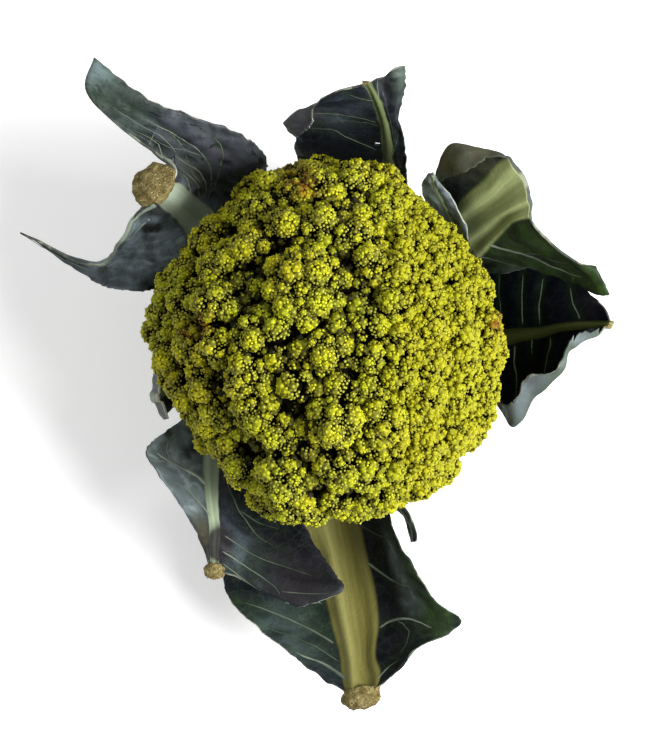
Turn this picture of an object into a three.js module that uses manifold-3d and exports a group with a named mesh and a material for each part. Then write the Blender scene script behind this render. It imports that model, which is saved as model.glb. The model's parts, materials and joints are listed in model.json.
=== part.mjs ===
// A head of green cauliflower, trimmed and standing upright on its cut stem.
// Millimetres, +Z up. The origin is the centre of the flat cut under the stem, and +X, +Y follow
// the head as it is laid out: the longest leaf points along -Y.
import * as THREE from 'three';
import { mergeVertices } from 'three/addons/utils/BufferGeometryUtils.js';
import Module from 'manifold-3d';

const wasm = await Module();
wasm.setup();

// Driving dimensions
const GAP = 0.3;               // clear space between pieces that grow out of one another
const STEM_RADIUS = 21;
const STEM_TOP = 45.5;
const STEM_BUTT_RADIUS = 19.5; // the cut face it stands on
const CURD_BOTTOM = STEM_TOP + GAP;
const HEAD_CENTRE = new THREE.Vector3(0, 0, 76);
const BLADE = 2.2;             // leaf thickness: thick enough to collide
const STALK_ROWS = 2;
const STEPS_PER_SPAN = 2;      // along a leaf, between two of its stations
const MARGIN = [0, 0.5, 1];    // where columns fall on a rib's half width

// Colours
const CURD_GREEN = 0xa7ab1e;
const STEM_GREEN = 0x9fa768;
const LEAF_DARK = 0x1f2b30;
const LEAF_GREY = 0x46584f;

function finish(colour, roughness) {
  return new THREE.MeshStandardMaterial({ color: colour, roughness, metalness: 0 });
}

function toSolid(geometry) {
  const bare = geometry.clone();
  bare.deleteAttribute('normal');
  bare.deleteAttribute('uv');
  const merged = mergeVertices(bare, 1e-4);
  return new wasm.Manifold(new wasm.Mesh({
    numProp: 3,
    vertProperties: new Float32Array(merged.attributes.position.array),
    triVerts: new Uint32Array(merged.index.array),
  }));
}

function toGeometry(solid) {
  const mesh = solid.getMesh();
  const geometry = new THREE.BufferGeometry();
  geometry.setAttribute('position', new THREE.BufferAttribute(mesh.vertProperties, 3));
  geometry.setIndex(new THREE.BufferAttribute(mesh.triVerts, 1));
  geometry.computeVertexNormals();
  return geometry;
}

function vectors(points) {
  return points.map((p) => new THREE.Vector3(...p));
}

// A closed body from two grids of points that share a rim: the upper face and the lower face.
function closedSheet(upper, lower) {
  const rows = upper.length;
  const columns = upper[0].length;
  const positions = [];
  for (const grid of [upper, lower]) {
    for (const row of grid) {
      for (const p of row) positions.push(p.x, p.y, p.z);
    }
  }
  const top = (i, j) => i * columns + j;
  const under = (i, j) => rows * columns + i * columns + j;
  const index = [];
  const quad = (a, b, c, d) => index.push(a, b, c, a, c, d);
  for (let i = 0; i < rows - 1; i++) {
    for (let j = 0; j < columns - 1; j++) {
      quad(top(i, j), top(i + 1, j), top(i + 1, j + 1), top(i, j + 1));
      quad(under(i, j), under(i, j + 1), under(i + 1, j + 1), under(i + 1, j));
    }
    quad(top(i, 0), under(i, 0), under(i + 1, 0), top(i + 1, 0));
    const j = columns - 1;
    quad(top(i, j), top(i + 1, j), under(i + 1, j), under(i, j));
  }
  for (let j = 0; j < columns - 1; j++) {
    quad(top(0, j), top(0, j + 1), under(0, j + 1), under(0, j));
    const i = rows - 1;
    quad(top(i, j), under(i, j), under(i, j + 1), top(i, j + 1));
  }
  const geometry = new THREE.BufferGeometry();
  geometry.setAttribute('position', new THREE.Float32BufferAttribute(positions, 3));
  geometry.setIndex(index);
  return geometry;
}

// Two stations across the stalk, from the stem outwards, that carry a leaf's columns.
function stalkRows(stalk, columns) {
  const rows = [];
  const angle = THREE.MathUtils.degToRad(stalk.angle);
  const out = new THREE.Vector3(Math.cos(angle), Math.sin(angle), 0);
  const side = new THREE.Vector3(-out.y, out.x, 0);
  for (let i = 0; i < STALK_ROWS; i++) {
    const reach = STEM_RADIUS - 1 + i * stalk.run;
    const row = [];
    for (let j = 0; j < columns; j++) {
      const across = (2 * j) / (columns - 1) - 1;
      const p = out.clone().multiplyScalar(reach);
      p.addScaledVector(side, across * stalk.halfWidth);
      p.z = stalk.heights[i] + stalk.cup * across * across;
      row.push(p);
    }
    rows.push(row);
  }
  return rows;
}

// A leaf is a blade lofted through its stations, from the stem to its cut or torn end. Each
// station is a row of points from one margin to the other, anticlockwise round the head as seen
// from above. The rib swells on the outer face.
function leafSolid({ stalk, rib, stations }) {
  const columns = stations[0].length;
  const rows = [...stalkRows(stalk, columns), ...stations.map(vectors)];
  const along = [];
  for (let j = 0; j < columns; j++) {
    along.push(new THREE.CatmullRomCurve3(rows.map((row) => row[j]), false, 'centripetal'));
  }
  const steps = (rows.length - 1) * STEPS_PER_SPAN;
  const ribAt = rib.column / (columns - 1);
  const spansLeft = Math.max(2, rib.column);
  const spansRight = Math.max(2, columns - 1 - rib.column);
  const upper = [];
  const depths = [];
  for (let i = 0; i <= steps; i++) {
    const u = i / steps;
    const cross = new THREE.CatmullRomCurve3(along.map((c) => c.getPoint(u)), false, 'centripetal');
    const half = THREE.MathUtils.lerp(rib.halfWidth[0], rib.halfWidth[1], u);
    const depth = THREE.MathUtils.lerp(rib.depth[0], rib.depth[1], u);
    const centre = cross.getPoint(ribAt);
    const line = [];
    const swell = [];
    for (const [spans, end] of [[spansLeft, 0], [spansRight, 1]]) {
      const reach = centre.distanceTo(cross.getPoint(end));
      const ribShare = Math.min(0.6, half / reach);
      const part = [];
      for (const m of MARGIN) part.push([m * ribShare, m]);
      for (let k = 1; k <= spans; k++) part.push([ribShare + ((1 - ribShare) * k) / spans, 1]);
      const side = part.map(([t, m]) => ({
        t: THREE.MathUtils.clamp(ribAt + (end - ribAt) * t, 0, 1),
        swell: 1 - m * m,
      }));
      if (end === 0) side.reverse();
      if (end === 1) side.shift();
      for (const s of side) {
        line.push(cross.getPoint(s.t));
        swell.push(BLADE + depth * s.swell);
      }
    }
    upper.push(line);
    depths.push(swell);
  }
  const lower = upper.map((line, i) => line.map((p, j) => {
    const ahead = upper[Math.min(i + 1, steps)][j];
    const behind = upper[Math.max(i - 1, 0)][j];
    const right = line[Math.min(j + 1, line.length - 1)];
    const left = line[Math.max(j - 1, 0)];
    const normal = ahead.clone().sub(behind).cross(right.clone().sub(left)).normalize();
    return p.clone().addScaledVector(normal, -depths[i][j]);
  }));
  return toSolid(closedSheet(upper, lower));
}

// The head: a dome above its widest level and a shallow dish below it, swollen by rounded florets.
const SPREAD = [77, 78, 77, 75, 76, 80, 84, 80, 77, 77, 78, 80, 80, 75, 72, 72, 77, 85, 82, 82, 83,
  82, 83, 80]; // the head's radius at its widest, every 15 degrees from +X towards +Y
const DOME_HEIGHT = 75;    // from the widest level up to the crown
const DISH_DEPTH = 36;     // from the widest level down to the stem
const DOME_POWER = 2.15;   // 2 is an ellipsoid, and more is squarer
const FACETS = 14;         // the head's triangles are an icosahedron's, split this often
// Florets: where each stands on the head as seen from above, and its radius
const FLORETS = [
  [-11, 25, 23], [0, -7, 14], [-36, 1, 12], [-36, -17, 13], [-32, -34, 13], [-22, -45, 14],
  [4, -39, 14], [8, -24, 9], [21, 6, 9], [20, -9, 9], [23, -23, 9], [27, -39, 12],
  [-33, 58, 13], [-50, 35, 14], [-67, 17, 13], [-20, 53, 10], [-3, 53, 11], [-2, 73, 13],
  [12, 72, 11], [28, 61, 12], [-20, -66, 15], [6, -60, 11], [20, -64, 12], [-39, -60, 11],
  [-23, 1, 8], [-13, -22, 9], [63, -40, 15], [47, -51, 13], [34, -63, 12], [38, 44, 11],
  [52, 36, 11], [61, 20, 11], [45, 21, 11], [33, 30, 10], [32, 16, 10], [63, 5, 12],
  [47, 6, 11], [35, -3, 10], [64, -12, 12], [48, -11, 11], [60, -27, 11], [47, -26, 11],
  [35, -17, 10], [-64, -4, 13], [-59, -21, 12], [-51, -35, 12], [-51, 16, 12], [-51, -3, 11],
  [-14, 68, 11], [12, 48, 11], [-35, 42, 11], [21, 34, 10],
];
// Florets round the side, in rings: height, how many, radius, and the first one's angle
const SIDE_RINGS = [[102, 24, 13, 4], [84, 24, 12, 11], [68, 20, 11, 2]];
const CREASE = 4;          // depth of the creases between florets

function spreadAt(angle) {
  const turns = (((angle / (2 * Math.PI)) % 1) + 1) % 1;
  const place = turns * SPREAD.length;
  const k = Math.floor(place) % SPREAD.length;
  const t = place - Math.floor(place);
  const blend = (1 - Math.cos(Math.PI * t)) / 2;
  return SPREAD[k] * (1 - blend) + SPREAD[(k + 1) % SPREAD.length] * blend;
}

// The head's smooth surface in a direction from its centre, as a distance.
function smoothRadius(direction) {
  const angle = Math.atan2(direction.y, direction.x);
  const level = Math.hypot(direction.x, direction.y);
  const above = direction.z > 0;
  const height = above ? DOME_HEIGHT : DISH_DEPTH;
  const power = above ? DOME_POWER : 2;
  const sum = (level / spreadAt(angle)) ** power + (Math.abs(direction.z) / height) ** power;
  return sum ** (-1 / power);
}

function floretDirections() {
  const list = [];
  for (const [x, y, radius] of FLORETS) {
    const share = Math.min(0.98, Math.hypot(x, y) / spreadAt(Math.atan2(y, x)));
    const rise = DOME_HEIGHT * (1 - share ** DOME_POWER) ** (1 / DOME_POWER);
    list.push({ direction: new THREE.Vector3(x, y, rise).normalize(), radius });
  }
  for (const [z, count, radius, start] of SIDE_RINGS) {
    for (let k = 0; k < count; k++) {
      const angle = THREE.MathUtils.degToRad(start + (360 * k) / count);
      const reach = spreadAt(angle);
      const rise = (z - HEAD_CENTRE.z) * 1.05;
      const direction = new THREE.Vector3(reach * Math.cos(angle), reach * Math.sin(angle), rise);
      list.push({ direction: direction.normalize(), radius });
    }
  }
  return list;
}

function curdGeometry() {
  const spheres = floretDirections().map(({ direction, radius }) => {
    const depth = smoothRadius(direction) - radius;
    return new THREE.Sphere(direction.clone().multiplyScalar(depth), radius);
  });
  const ball = new THREE.IcosahedronGeometry(1, FACETS);
  ball.deleteAttribute('normal');
  ball.deleteAttribute('uv');
  const geometry = mergeVertices(ball, 1e-5);
  const place = geometry.attributes.position;
  const direction = new THREE.Vector3();
  const point = new THREE.Vector3();
  for (let i = 0; i < place.count; i++) {
    direction.fromBufferAttribute(place, i).normalize();
    let reach = smoothRadius(direction) - CREASE;
    for (const sphere of spheres) {
      const along = sphere.center.dot(direction);
      const aside2 = sphere.center.lengthSq() - along * along;
      if (along <= 0 || aside2 >= sphere.radius ** 2) continue;
      reach = Math.max(reach, along + Math.sqrt(sphere.radius ** 2 - aside2));
    }
    point.copy(direction).multiplyScalar(reach).add(HEAD_CENTRE);
    place.setXYZ(i, point.x, point.y, Math.max(point.z, CURD_BOTTOM));
  }
  return geometry;
}

// The stem: a short stout stalk, cut flat below, a little flared where the head branches from it.
function stemGeometry(extra = 0) {
  const profile = [[0, 0], [STEM_BUTT_RADIUS, 0], [STEM_RADIUS, 3], [STEM_RADIUS, 20],
    [STEM_RADIUS, 34], [STEM_RADIUS, STEM_TOP], [0, STEM_TOP]];
  const points = profile.map(([r, z]) => new THREE.Vector2(r > 0 ? r + extra : 0, z));
  const lathe = new THREE.LatheGeometry(points, 40);
  lathe.rotateX(Math.PI / 2);
  return lathe;
}

const LEAVES = {
  leaf_south: {
    colour: LEAF_GREY,
    stalk: { angle: -87, run: 30, heights: [13, 15], halfWidth: 13, cup: 3 },
    rib: { column: 2, halfWidth: [13, 8.5], depth: [9, 7] },
    stations: [
      [[-26, -85, 32], [-16, -84, 26], [2, -83, 22], [17, -82, 24], [24, -80, 34], [28, -78, 44]],
      [[-44, -98, 32], [-21, -101, 27], [6, -103, 29], [22, -100, 28], [29, -95, 40], [33, -90, 52]],
      [[-50, -110, 33], [-24, -116, 31], [9, -121, 37], [28, -117, 35], [36, -109, 48], [39, -102, 58]],
      [[-46, -122, 38], [-20, -128, 37], [12, -136, 44], [31, -131, 43], [44, -123, 53], [50, -119, 60]],
      [[-33, -134, 44], [-10, -139, 43], [14, -148, 51], [32, -142, 50], [49, -134, 58], [63, -130, 62]],
      [[-17, -146, 50], [-2, -150, 50], [15, -157, 58], [29, -151, 56], [38, -146, 59], [45, -140, 60]],
      [[0, -158, 58], [7, -161, 60], [16, -166, 65], [24, -160, 62], [29, -156, 61], [34, -151, 60]],
    ],
  },
  leaf_south_west: {
    colour: LEAF_GREY,
    stalk: { angle: -140, run: 26, heights: [24, 30], halfWidth: 11, cup: 3 },
    rib: { column: 2, halfWidth: [10, 4], depth: [8, 4.5] },
    stations: [
      [[-66, -35, 46], [-60, -37, 41], [-51, -34, 38], [-40, -39, 34], [-31, -46, 32], [-22, -54, 30]],
      [[-77, -43, 62], [-66, -48, 53], [-54, -50, 44], [-43, -60, 37], [-31, -68, 34], [-18, -75, 32]],
      [[-83, -50, 72], [-69, -57, 60], [-54, -64, 50], [-42, -74, 43], [-27, -81, 42], [-10, -87, 44]],
      [[-77, -61, 71], [-65, -67, 63], [-53, -76, 56], [-40, -85, 50], [-22, -92, 52], [-2, -98, 54]],
      [[-69, -73, 67], [-60, -80, 64], [-51, -87, 62], [-38, -96, 58], [-18, -103, 60], [5, -108, 64]],
      [[-61, -86, 67], [-56, -90, 67], [-51, -96, 67], [-40, -103, 63], [-18, -111, 66], [8, -115, 72]],
      [[-55, -99, 71], [-53, -102, 72], [-50, -105, 73], [-41, -108, 67], [-30, -115, 66], [-11, -123, 70]],
    ],
  },
  leaf_east: {
    colour: LEAF_DARK,
    stalk: { angle: 2, run: 26, heights: [18, 24], halfWidth: 10, cup: 3 },
    rib: { column: 3, halfWidth: [9, 1.8], depth: [7, 3] },
    stations: [
      [[75, -24, 44], [75, -19, 38], [72, -9, 36], [73, 3, 36], [72, 18, 34], [71, 37, 33]],
      [[82, -29, 58], [81, -31, 49], [82, -15, 42], [83, 3, 43], [82, 22, 40], [81, 43, 37]],
      [[86, -26, 66], [88, -39, 57], [90, -13, 48], [92, 4, 50], [91, 22, 46], [93, 44, 42]],
      [[93, -15, 68], [98, -24, 61], [100, -8, 54], [100, 5, 56], [100, 21, 51], [103, 39, 46]],
      [[105, -12, 71], [109, -14, 67], [108, -2, 61], [109, 7, 63], [109, 20, 57], [112, 33, 51]],
      [[113, 4, 76], [112, -4, 71], [117, 3, 69], [119, 8, 70], [119, 16, 66], [120, 25, 60]],
      [[124, 7, 80], [124, 3, 77], [127, 6, 77], [129, 8, 78], [128, 12, 77], [126, 17, 74]],
    ],
  },
  leaf_north_east: {
    colour: LEAF_DARK,
    stalk: { angle: 40, run: 26, heights: [30, 36], halfWidth: 11, cup: 2 },
    rib: { column: 4, halfWidth: [11, 12], depth: [7, 5] },
    stations: [
      [
        [71, 30, 46], [69, 32, 44], [66, 34, 44], [62, 38, 44],
        [58, 45, 46], [54, 51, 50], [50, 57, 52], [46, 62, 54],
      ],
      [
        [83, 32, 50], [78, 34, 50], [75, 37, 50], [69, 42, 54],
        [66, 51, 60], [60, 61, 67], [54, 67, 70], [50, 70, 73],
      ],
      [
        [96, 33, 58], [90, 35, 58], [83, 40, 60], [75, 45, 64],
        [72, 55, 72], [64, 67, 84], [50, 75, 88], [54, 72, 92],
      ],
      [
        [113, 26, 70], [103, 33, 68], [92, 41, 70], [82, 48, 74],
        [78, 59, 83], [70, 72, 94], [55, 86, 104], [63, 73, 108],
      ],
      [
        [127, 19, 85], [115, 30, 80], [101, 39, 78], [87, 50, 84],
        [84, 62, 92], [76, 76, 101], [68, 84, 108], [71, 79, 111],
      ],
      [
        [122, 33, 88], [111, 36, 88], [99, 46, 90], [92, 54, 92],
        [90, 65, 99], [83, 77, 106], [78, 81, 108], [79, 79, 110],
      ],
    ],
  },
  leaf_north_east_inner: {
    colour: LEAF_GREY,
    stalk: { angle: 36, run: 24, heights: [40, 44], halfWidth: 7, cup: 2 },
    rib: { column: 1, halfWidth: [5, 1.5], depth: [4, 1] },
    stations: [
      [[63, 41, 57], [58, 45, 55], [50, 50, 53]],
      [[66, 44, 70], [57, 54, 71], [46, 59, 70]],
      [[63, 54, 82], [53, 61, 84], [43, 66, 82]],
      [[56, 64, 91], [49, 68, 92], [42, 70, 90]],
      [[49, 72, 98], [47, 73, 100], [45, 74, 98]],
    ],
  },
  leaf_north: {
    colour: LEAF_DARK,
    stalk: { angle: 74, run: 28, heights: [17, 26], halfWidth: 11, cup: 2 },
    rib: { column: 3, halfWidth: [9, 1.8], depth: [7, 3.5] },
    stations: [
      [
        [37, 71, 50], [35, 72, 49], [32, 73, 48], [28, 74, 48],
        [12, 77, 46], [-3, 79, 46], [-12, 80, 48],
      ],
      [
        [37, 81, 66], [35, 83, 67], [32, 84, 68], [28, 87, 70],
        [9, 90, 66], [-7, 90, 67], [-15, 90, 70],
      ],
      [
        [36, 90, 80], [33, 93, 82], [30, 95, 86], [26, 97, 90],
        [6, 99, 84], [-18, 97, 80], [-9, 94, 86],
      ],
      [
        [33, 100, 93], [30, 101, 96], [27, 102, 98], [23, 104, 102],
        [5, 104, 98], [-16, 100, 92], [-5, 96, 97],
      ],
      [
        [36, 110, 104], [30, 111, 106], [25, 110, 103], [20, 109, 109],
        [9, 108, 108], [1, 106, 105], [-5, 104, 104],
      ],
      [
        [35, 120, 112], [29, 118, 113], [25, 115, 108], [18, 112, 112],
        [14, 111, 112], [10, 110, 112], [7, 109, 112],
      ],
    ],
  },
  leaf_north_west: {
    colour: LEAF_GREY,
    stalk: { angle: 137, run: 26, heights: [20, 27], halfWidth: 13, cup: 4 },
    rib: { column: 4, halfWidth: [12, 8], depth: [8, 6] },
    stations: [
      [
        [-27, 73, 50], [-35, 66, 47], [-41, 60, 44], [-46, 54, 42],
        [-52, 48, 40], [-62, 39, 42], [-71, 30, 45], [-78, 24, 48],
      ],
      [
        [-27, 84, 75], [-37, 76, 68], [-45, 70, 62], [-52, 63, 58],
        [-57, 54, 56], [-68, 44, 55], [-78, 33, 52], [-84, 23, 50],
      ],
      [
        [-36, 92, 95], [-46, 83, 87], [-54, 76, 79], [-58, 68, 72],
        [-61, 58, 70], [-73, 48, 67], [-85, 35, 61], [-92, 23, 56],
      ],
      [
        [-53, 97, 107], [-61, 89, 101], [-66, 80, 92], [-63, 71, 87],
        [-66, 61, 84], [-77, 51, 77], [-90, 37, 68], [-101, 24, 64],
      ],
      [
        [-77, 105, 118], [-83, 96, 111], [-78, 86, 101], [-66, 74, 96],
        [-70, 63, 97], [-81, 54, 86], [-97, 38, 75], [-110, 29, 76],
      ],
      [
        [-100, 122, 124], [-104, 107, 119], [-87, 90, 108], [-68, 76, 103],
        [-73, 65, 108], [-85, 56, 92], [-103, 33, 82], [-138, 49, 98],
      ],
    ],
  },
  leaf_west: {
    colour: LEAF_GREY,
    stalk: { angle: 204, run: 24, heights: [37, 41], halfWidth: 6, cup: 2 },
    rib: { column: 1, halfWidth: [5, 2], depth: [4, 1] },
    stations: [
      [[-67, -9, 46], [-66, -18, 45], [-63, -27, 46]],
      [[-79, -13, 57], [-79, -25, 56], [-75, -36, 57]],
      [[-76, -16, 71], [-76, -26, 75], [-72, -37, 72]],
    ],
  },
  leaf_south_east: {
    colour: LEAF_GREY,
    stalk: { angle: -64, run: 22, heights: [36, 40], halfWidth: 5, cup: 2 },
    rib: { column: 1, halfWidth: [4, 1], depth: [4, 0.5] },
    stations: [
      [[23, -71, 44], [25, -70, 49], [26, -69, 54]],
      [[33, -79, 48], [34, -78, 54], [36, -77, 60]],
      [[38, -86, 51], [39, -86, 57], [41, -84, 62]],
      [[39, -93, 56], [40, -93, 60], [41, -92, 63]],
    ],
  },
};

const head = new THREE.Group();
const stem = new THREE.Mesh(stemGeometry(), finish(STEM_GREEN, 0.6));
stem.name = 'stem';
head.add(stem);
const curd = new THREE.Mesh(curdGeometry(), finish(CURD_GREEN, 0.7));
curd.name = 'curd';
head.add(curd);

const stemSpace = toSolid(stemGeometry(GAP));
for (const [name, leaf] of Object.entries(LEAVES)) {
  const grown = leafSolid(leaf).subtract(stemSpace);
  const mesh = new THREE.Mesh(toGeometry(grown), finish(leaf.colour, 0.55));
  mesh.name = name;
  head.add(mesh);
}

export default head;
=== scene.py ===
# %% [markdown]
# # A head of green cauliflower
# Green cauliflower is one short stem that branches again and again. The outermost twigs end in
# hundreds of closed buds, and packed side by side they make the knobbly dome, the curd. A few
# trimmed leaves spread from the stem around it. The solids of the frame give every piece its place
# and size, and this script builds what is seen: buds, blades, ribs, veins, and their finishes.

# %% Tools and the frame
import json
import math
import random

import bmesh
import bpy
import numpy as np
from mathutils import Matrix, Vector, noise
from mathutils.bvhtree import BVHTree
from mathutils.kdtree import KDTree

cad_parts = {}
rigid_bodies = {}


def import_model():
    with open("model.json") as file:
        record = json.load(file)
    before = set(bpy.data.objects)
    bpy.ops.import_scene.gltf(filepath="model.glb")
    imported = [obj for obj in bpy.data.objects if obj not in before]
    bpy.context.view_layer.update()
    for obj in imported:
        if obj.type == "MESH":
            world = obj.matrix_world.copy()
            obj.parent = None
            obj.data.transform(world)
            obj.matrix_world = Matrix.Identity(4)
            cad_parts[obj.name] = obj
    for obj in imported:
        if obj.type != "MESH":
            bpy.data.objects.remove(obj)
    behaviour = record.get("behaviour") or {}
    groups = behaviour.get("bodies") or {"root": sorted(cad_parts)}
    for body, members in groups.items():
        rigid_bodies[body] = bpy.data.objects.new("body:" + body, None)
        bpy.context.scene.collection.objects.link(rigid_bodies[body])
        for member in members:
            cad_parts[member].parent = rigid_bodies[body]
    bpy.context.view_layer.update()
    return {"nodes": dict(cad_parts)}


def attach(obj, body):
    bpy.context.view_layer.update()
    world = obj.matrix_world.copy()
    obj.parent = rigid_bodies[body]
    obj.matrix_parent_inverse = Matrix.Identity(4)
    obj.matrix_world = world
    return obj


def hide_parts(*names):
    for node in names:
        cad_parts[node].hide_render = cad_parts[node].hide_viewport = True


MM = 0.001
GOLDEN_ANGLE = math.pi * (3 - math.sqrt(5))
ANY_SPIN = (0, 6.28)
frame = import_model()
print("frame nodes:", ", ".join(sorted(frame["nodes"])))

# %% [markdown]
# ## Camera and light
# The camera looks straight down on the standing head from a metre above the floor. A long lens
# keeps the leaf tips, which are nearer to it than the floor, in proportion. The floor is plain and
# pale, and the light is a studio's: one large soft key from the east, a weaker fill from the other
# side, and a pale sky.

# %% Camera
CAMERA_PLACE = (1.3 * MM, -16.1 * MM, 1000 * MM)
LENS, SENSOR = 97.2, 36
camera_data = bpy.data.cameras.new("camera")
camera_data.lens = LENS
camera_data.sensor_width = SENSOR
camera_data.clip_start = 0.01
camera = bpy.data.objects.new("camera", camera_data)
camera.location = CAMERA_PLACE
bpy.context.scene.collection.objects.link(camera)
bpy.context.scene.camera = camera
print("camera at", CAMERA_PLACE)


# %% Lights and floor
def add_light(name, place, aim, size, watts):
    """A round soft lamp at a place, aimed at a point."""
    data = bpy.data.lights.new(name, "AREA")
    data.shape = "DISK"
    data.size = size
    data.energy = watts
    light = bpy.data.objects.new(name, data)
    light.location = place
    light.rotation_euler = (Vector(aim) - Vector(place)).to_track_quat("-Z", "Y").to_euler()
    bpy.context.scene.collection.objects.link(light)


SKY_STRENGTH, FLOOR_GLOW, FLOOR_HALF = 0.38, 0.3, 1.6
FLOOR_PALE = (0.86, 0.86, 0.86)
add_light("key", place=(0.97, -0.22, 0.9), aim=(0, 0, 0.08), size=0.8, watts=42)
add_light("fill", place=(-0.9, 0.5, 0.9), aim=(0, 0, 0.05), size=1.2, watts=5)
world = bpy.data.worlds.new("studio")
world.use_nodes = True
sky = world.node_tree.nodes["Background"].inputs
sky["Color"].default_value = (1, 1, 1, 1)
sky["Strength"].default_value = SKY_STRENGTH
bpy.context.scene.world = world
bpy.context.scene.view_settings.view_transform = "Standard"


def new_material(name, roughness, specular=0.5, base=(0.5, 0.5, 0.5)):
    material = bpy.data.materials.new(name)
    material.use_nodes = True
    shader = material.node_tree.nodes["Principled BSDF"]
    shader.inputs["Roughness"].default_value = roughness
    shader.inputs["Specular IOR Level"].default_value = specular
    shader.inputs["Base Color"].default_value = (*base, 1)
    return material


def add_object(name, data, materials=()):
    """A new object that shows a mesh or a curve, in the given finishes."""
    for material in materials:
        data.materials.append(material)
    made = bpy.data.objects.new(name, data)
    bpy.context.scene.collection.objects.link(made)
    return made


def object_from(name, shape, materials):
    """The same, from a shape that bmesh operators made."""
    mesh = bpy.data.meshes.new(name)
    shape.to_mesh(mesh)
    shape.free()
    return add_object(name, mesh, materials)


def mesh_shown_by(thing):
    """The mesh that an object shows once its nodes have run or its curves have their thickness."""
    seen = thing.evaluated_get(bpy.context.evaluated_depsgraph_get())
    return bpy.data.meshes.new_from_object(seen)


def smooth_faces(faces):
    for face in faces:
        face.smooth = True


floor_shape = bmesh.new()
bmesh.ops.create_grid(floor_shape, x_segments=1, y_segments=1, size=FLOOR_HALF)
pale = new_material("floor_pale", 0.9, base=FLOOR_PALE)
glow = pale.node_tree.nodes["Principled BSDF"].inputs
glow["Emission Color"].default_value = (1, 1, 1, 1)
glow["Emission Strength"].default_value = FLOOR_GLOW
floor = object_from("floor", floor_shape, [pale])

# %% [markdown]
# ## The finish of the buds
# Fresh buds are waxy and yellow-green. Their paler tips are a painted highlight, and the clefts
# between them are painted near black as shade, since hardly any light gets in. The colour is mixed
# from marks that each bud carries. Two say where a point lies on its bud: how near the tip, and how
# high. The others belong to the whole bud: its tone, how far down its cluster's flank it sits, how
# close the grain is there, how near the next cluster is, how much of the sky is hidden from it, and
# how bruised it is.


# %% Node helpers
class Graph:
    """Short calls for adding nodes to one node tree."""

    def __init__(self, tree):
        self.tree = tree

    def node(self, kind, settings=None, **inputs):
        made = self.tree.nodes.new(kind)
        for key, value in (settings or {}).items():
            setattr(made, key, value)
        for key, value in inputs.items():
            self.feed(made, key.replace("_", " "), value)
        return made

    def feed(self, node, key, value):
        """Links a socket, or sets it. The key is a socket's name or its number as text."""
        socket = node.inputs[int(key)] if key.isdigit() else node.inputs[key]
        if isinstance(value, bpy.types.NodeSocket):
            self.tree.links.new(value, socket)
        elif isinstance(value, tuple) and socket.type == "RGBA":
            socket.default_value = (*value, 1)
        else:
            socket.default_value = value

    def place(self):
        return self.node("ShaderNodeTexCoord").outputs["Object"]

    def attribute(self, name, output="Fac"):
        return self.node("ShaderNodeAttribute", {"attribute_name": name}).outputs[output]

    def math(self, operation, a, b=0.0, clamp=False):
        made = self.node("ShaderNodeMath", {"operation": operation, "use_clamp": clamp})
        self.feed(made, "0", a)
        self.feed(made, "1", b)
        return made.outputs[0]

    def times(self, a, b):
        return self.math("MULTIPLY", a, b)

    def plus(self, a, b):
        return self.math("ADD", a, b)

    def rest(self, share):
        return self.math("SUBTRACT", 1.0, share)

    def ramp(self, value, low, high, out_low=0.0, out_high=1.0):
        return self.node("ShaderNodeMapRange", {"interpolation_type": "SMOOTHSTEP"}, Value=value,
                         From_Min=low, From_Max=high, To_Min=out_low,
                         To_Max=out_high).outputs["Result"]

    def mix(self, share, a, b):
        made = self.node("ShaderNodeMix", {"data_type": "RGBA"})
        for key, value in (("0", share), ("6", a), ("7", b)):
            self.feed(made, key, value)
        return made.outputs[2]

    def noise(self, vector, scale, detail=3.0, distortion=0.0):
        return self.node("ShaderNodeTexNoise", Vector=vector, Scale=scale, Detail=detail,
                         Distortion=distortion).outputs["Fac"]

    def drawn_out(self, vector, scale):
        """Stretches a pattern: the axis with the smallest scale is the longest."""
        made = self.node("ShaderNodeMapping", Vector=vector)
        made.inputs["Scale"].default_value = scale
        return made.outputs["Vector"]

    def bump(self, height, strength, distance):
        return self.node("ShaderNodeBump", Height=height, Strength=strength,
                         Distance=distance).outputs["Normal"]


def graph_of(material):
    return Graph(material.node_tree), material.node_tree.nodes["Principled BSDF"]


# %% Bud and cleft materials
BUD_GREENS = (0.37, 0.405, 0.008), (0.50, 0.515, 0.013)
WARM_GREEN = (0.50, 0.46, 0.007)
# Down a cluster's flank the buds turn a greyer green, and darker, which is partly painted shade.
FLANK_GREY_AND_SHADE = (0.25, 0.25, 0.030)
CLOSE_GREEN = (0.265, 0.25, 0.005)
# Painted highlight on the buds' tips.
TIP_HIGHLIGHT = (0.86, 0.86, 0.34)
# Painted shade in the creases between the buds.
CREASE_SHADE = (0.060, 0.058, 0.004)
BRUISE = (0.16, 0.060, 0.004)
# A mark, its values where the shade starts and where it is deepest, how deep, and its colour.
SHADES = [("rise", 0.46, -0.05, 0.97, (0.012, 0.010, 0.002)),
          ("apart", 1.5, 0.3, 0.85, (0.030, 0.026, 0.004)),
          ("shelter", 0.42, 0.88, 0.96, (0.010, 0.009, 0.003))]
# Painted shade: the near black of the clefts and of the flesh under the buds.
CLEFT_SHADES = (0.0012, 0.001, 0.0004), (0.006, 0.0055, 0.0015)
TWIG_GREENS = (0.050, 0.053, 0.004), (0.11, 0.115, 0.008)
# Painted light: the twig ends in the clefts are paler on the close-grained east side, where the key light
# falls.
EAST_LIT_TWIG = (0.20, 0.18, 0.006)


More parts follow.
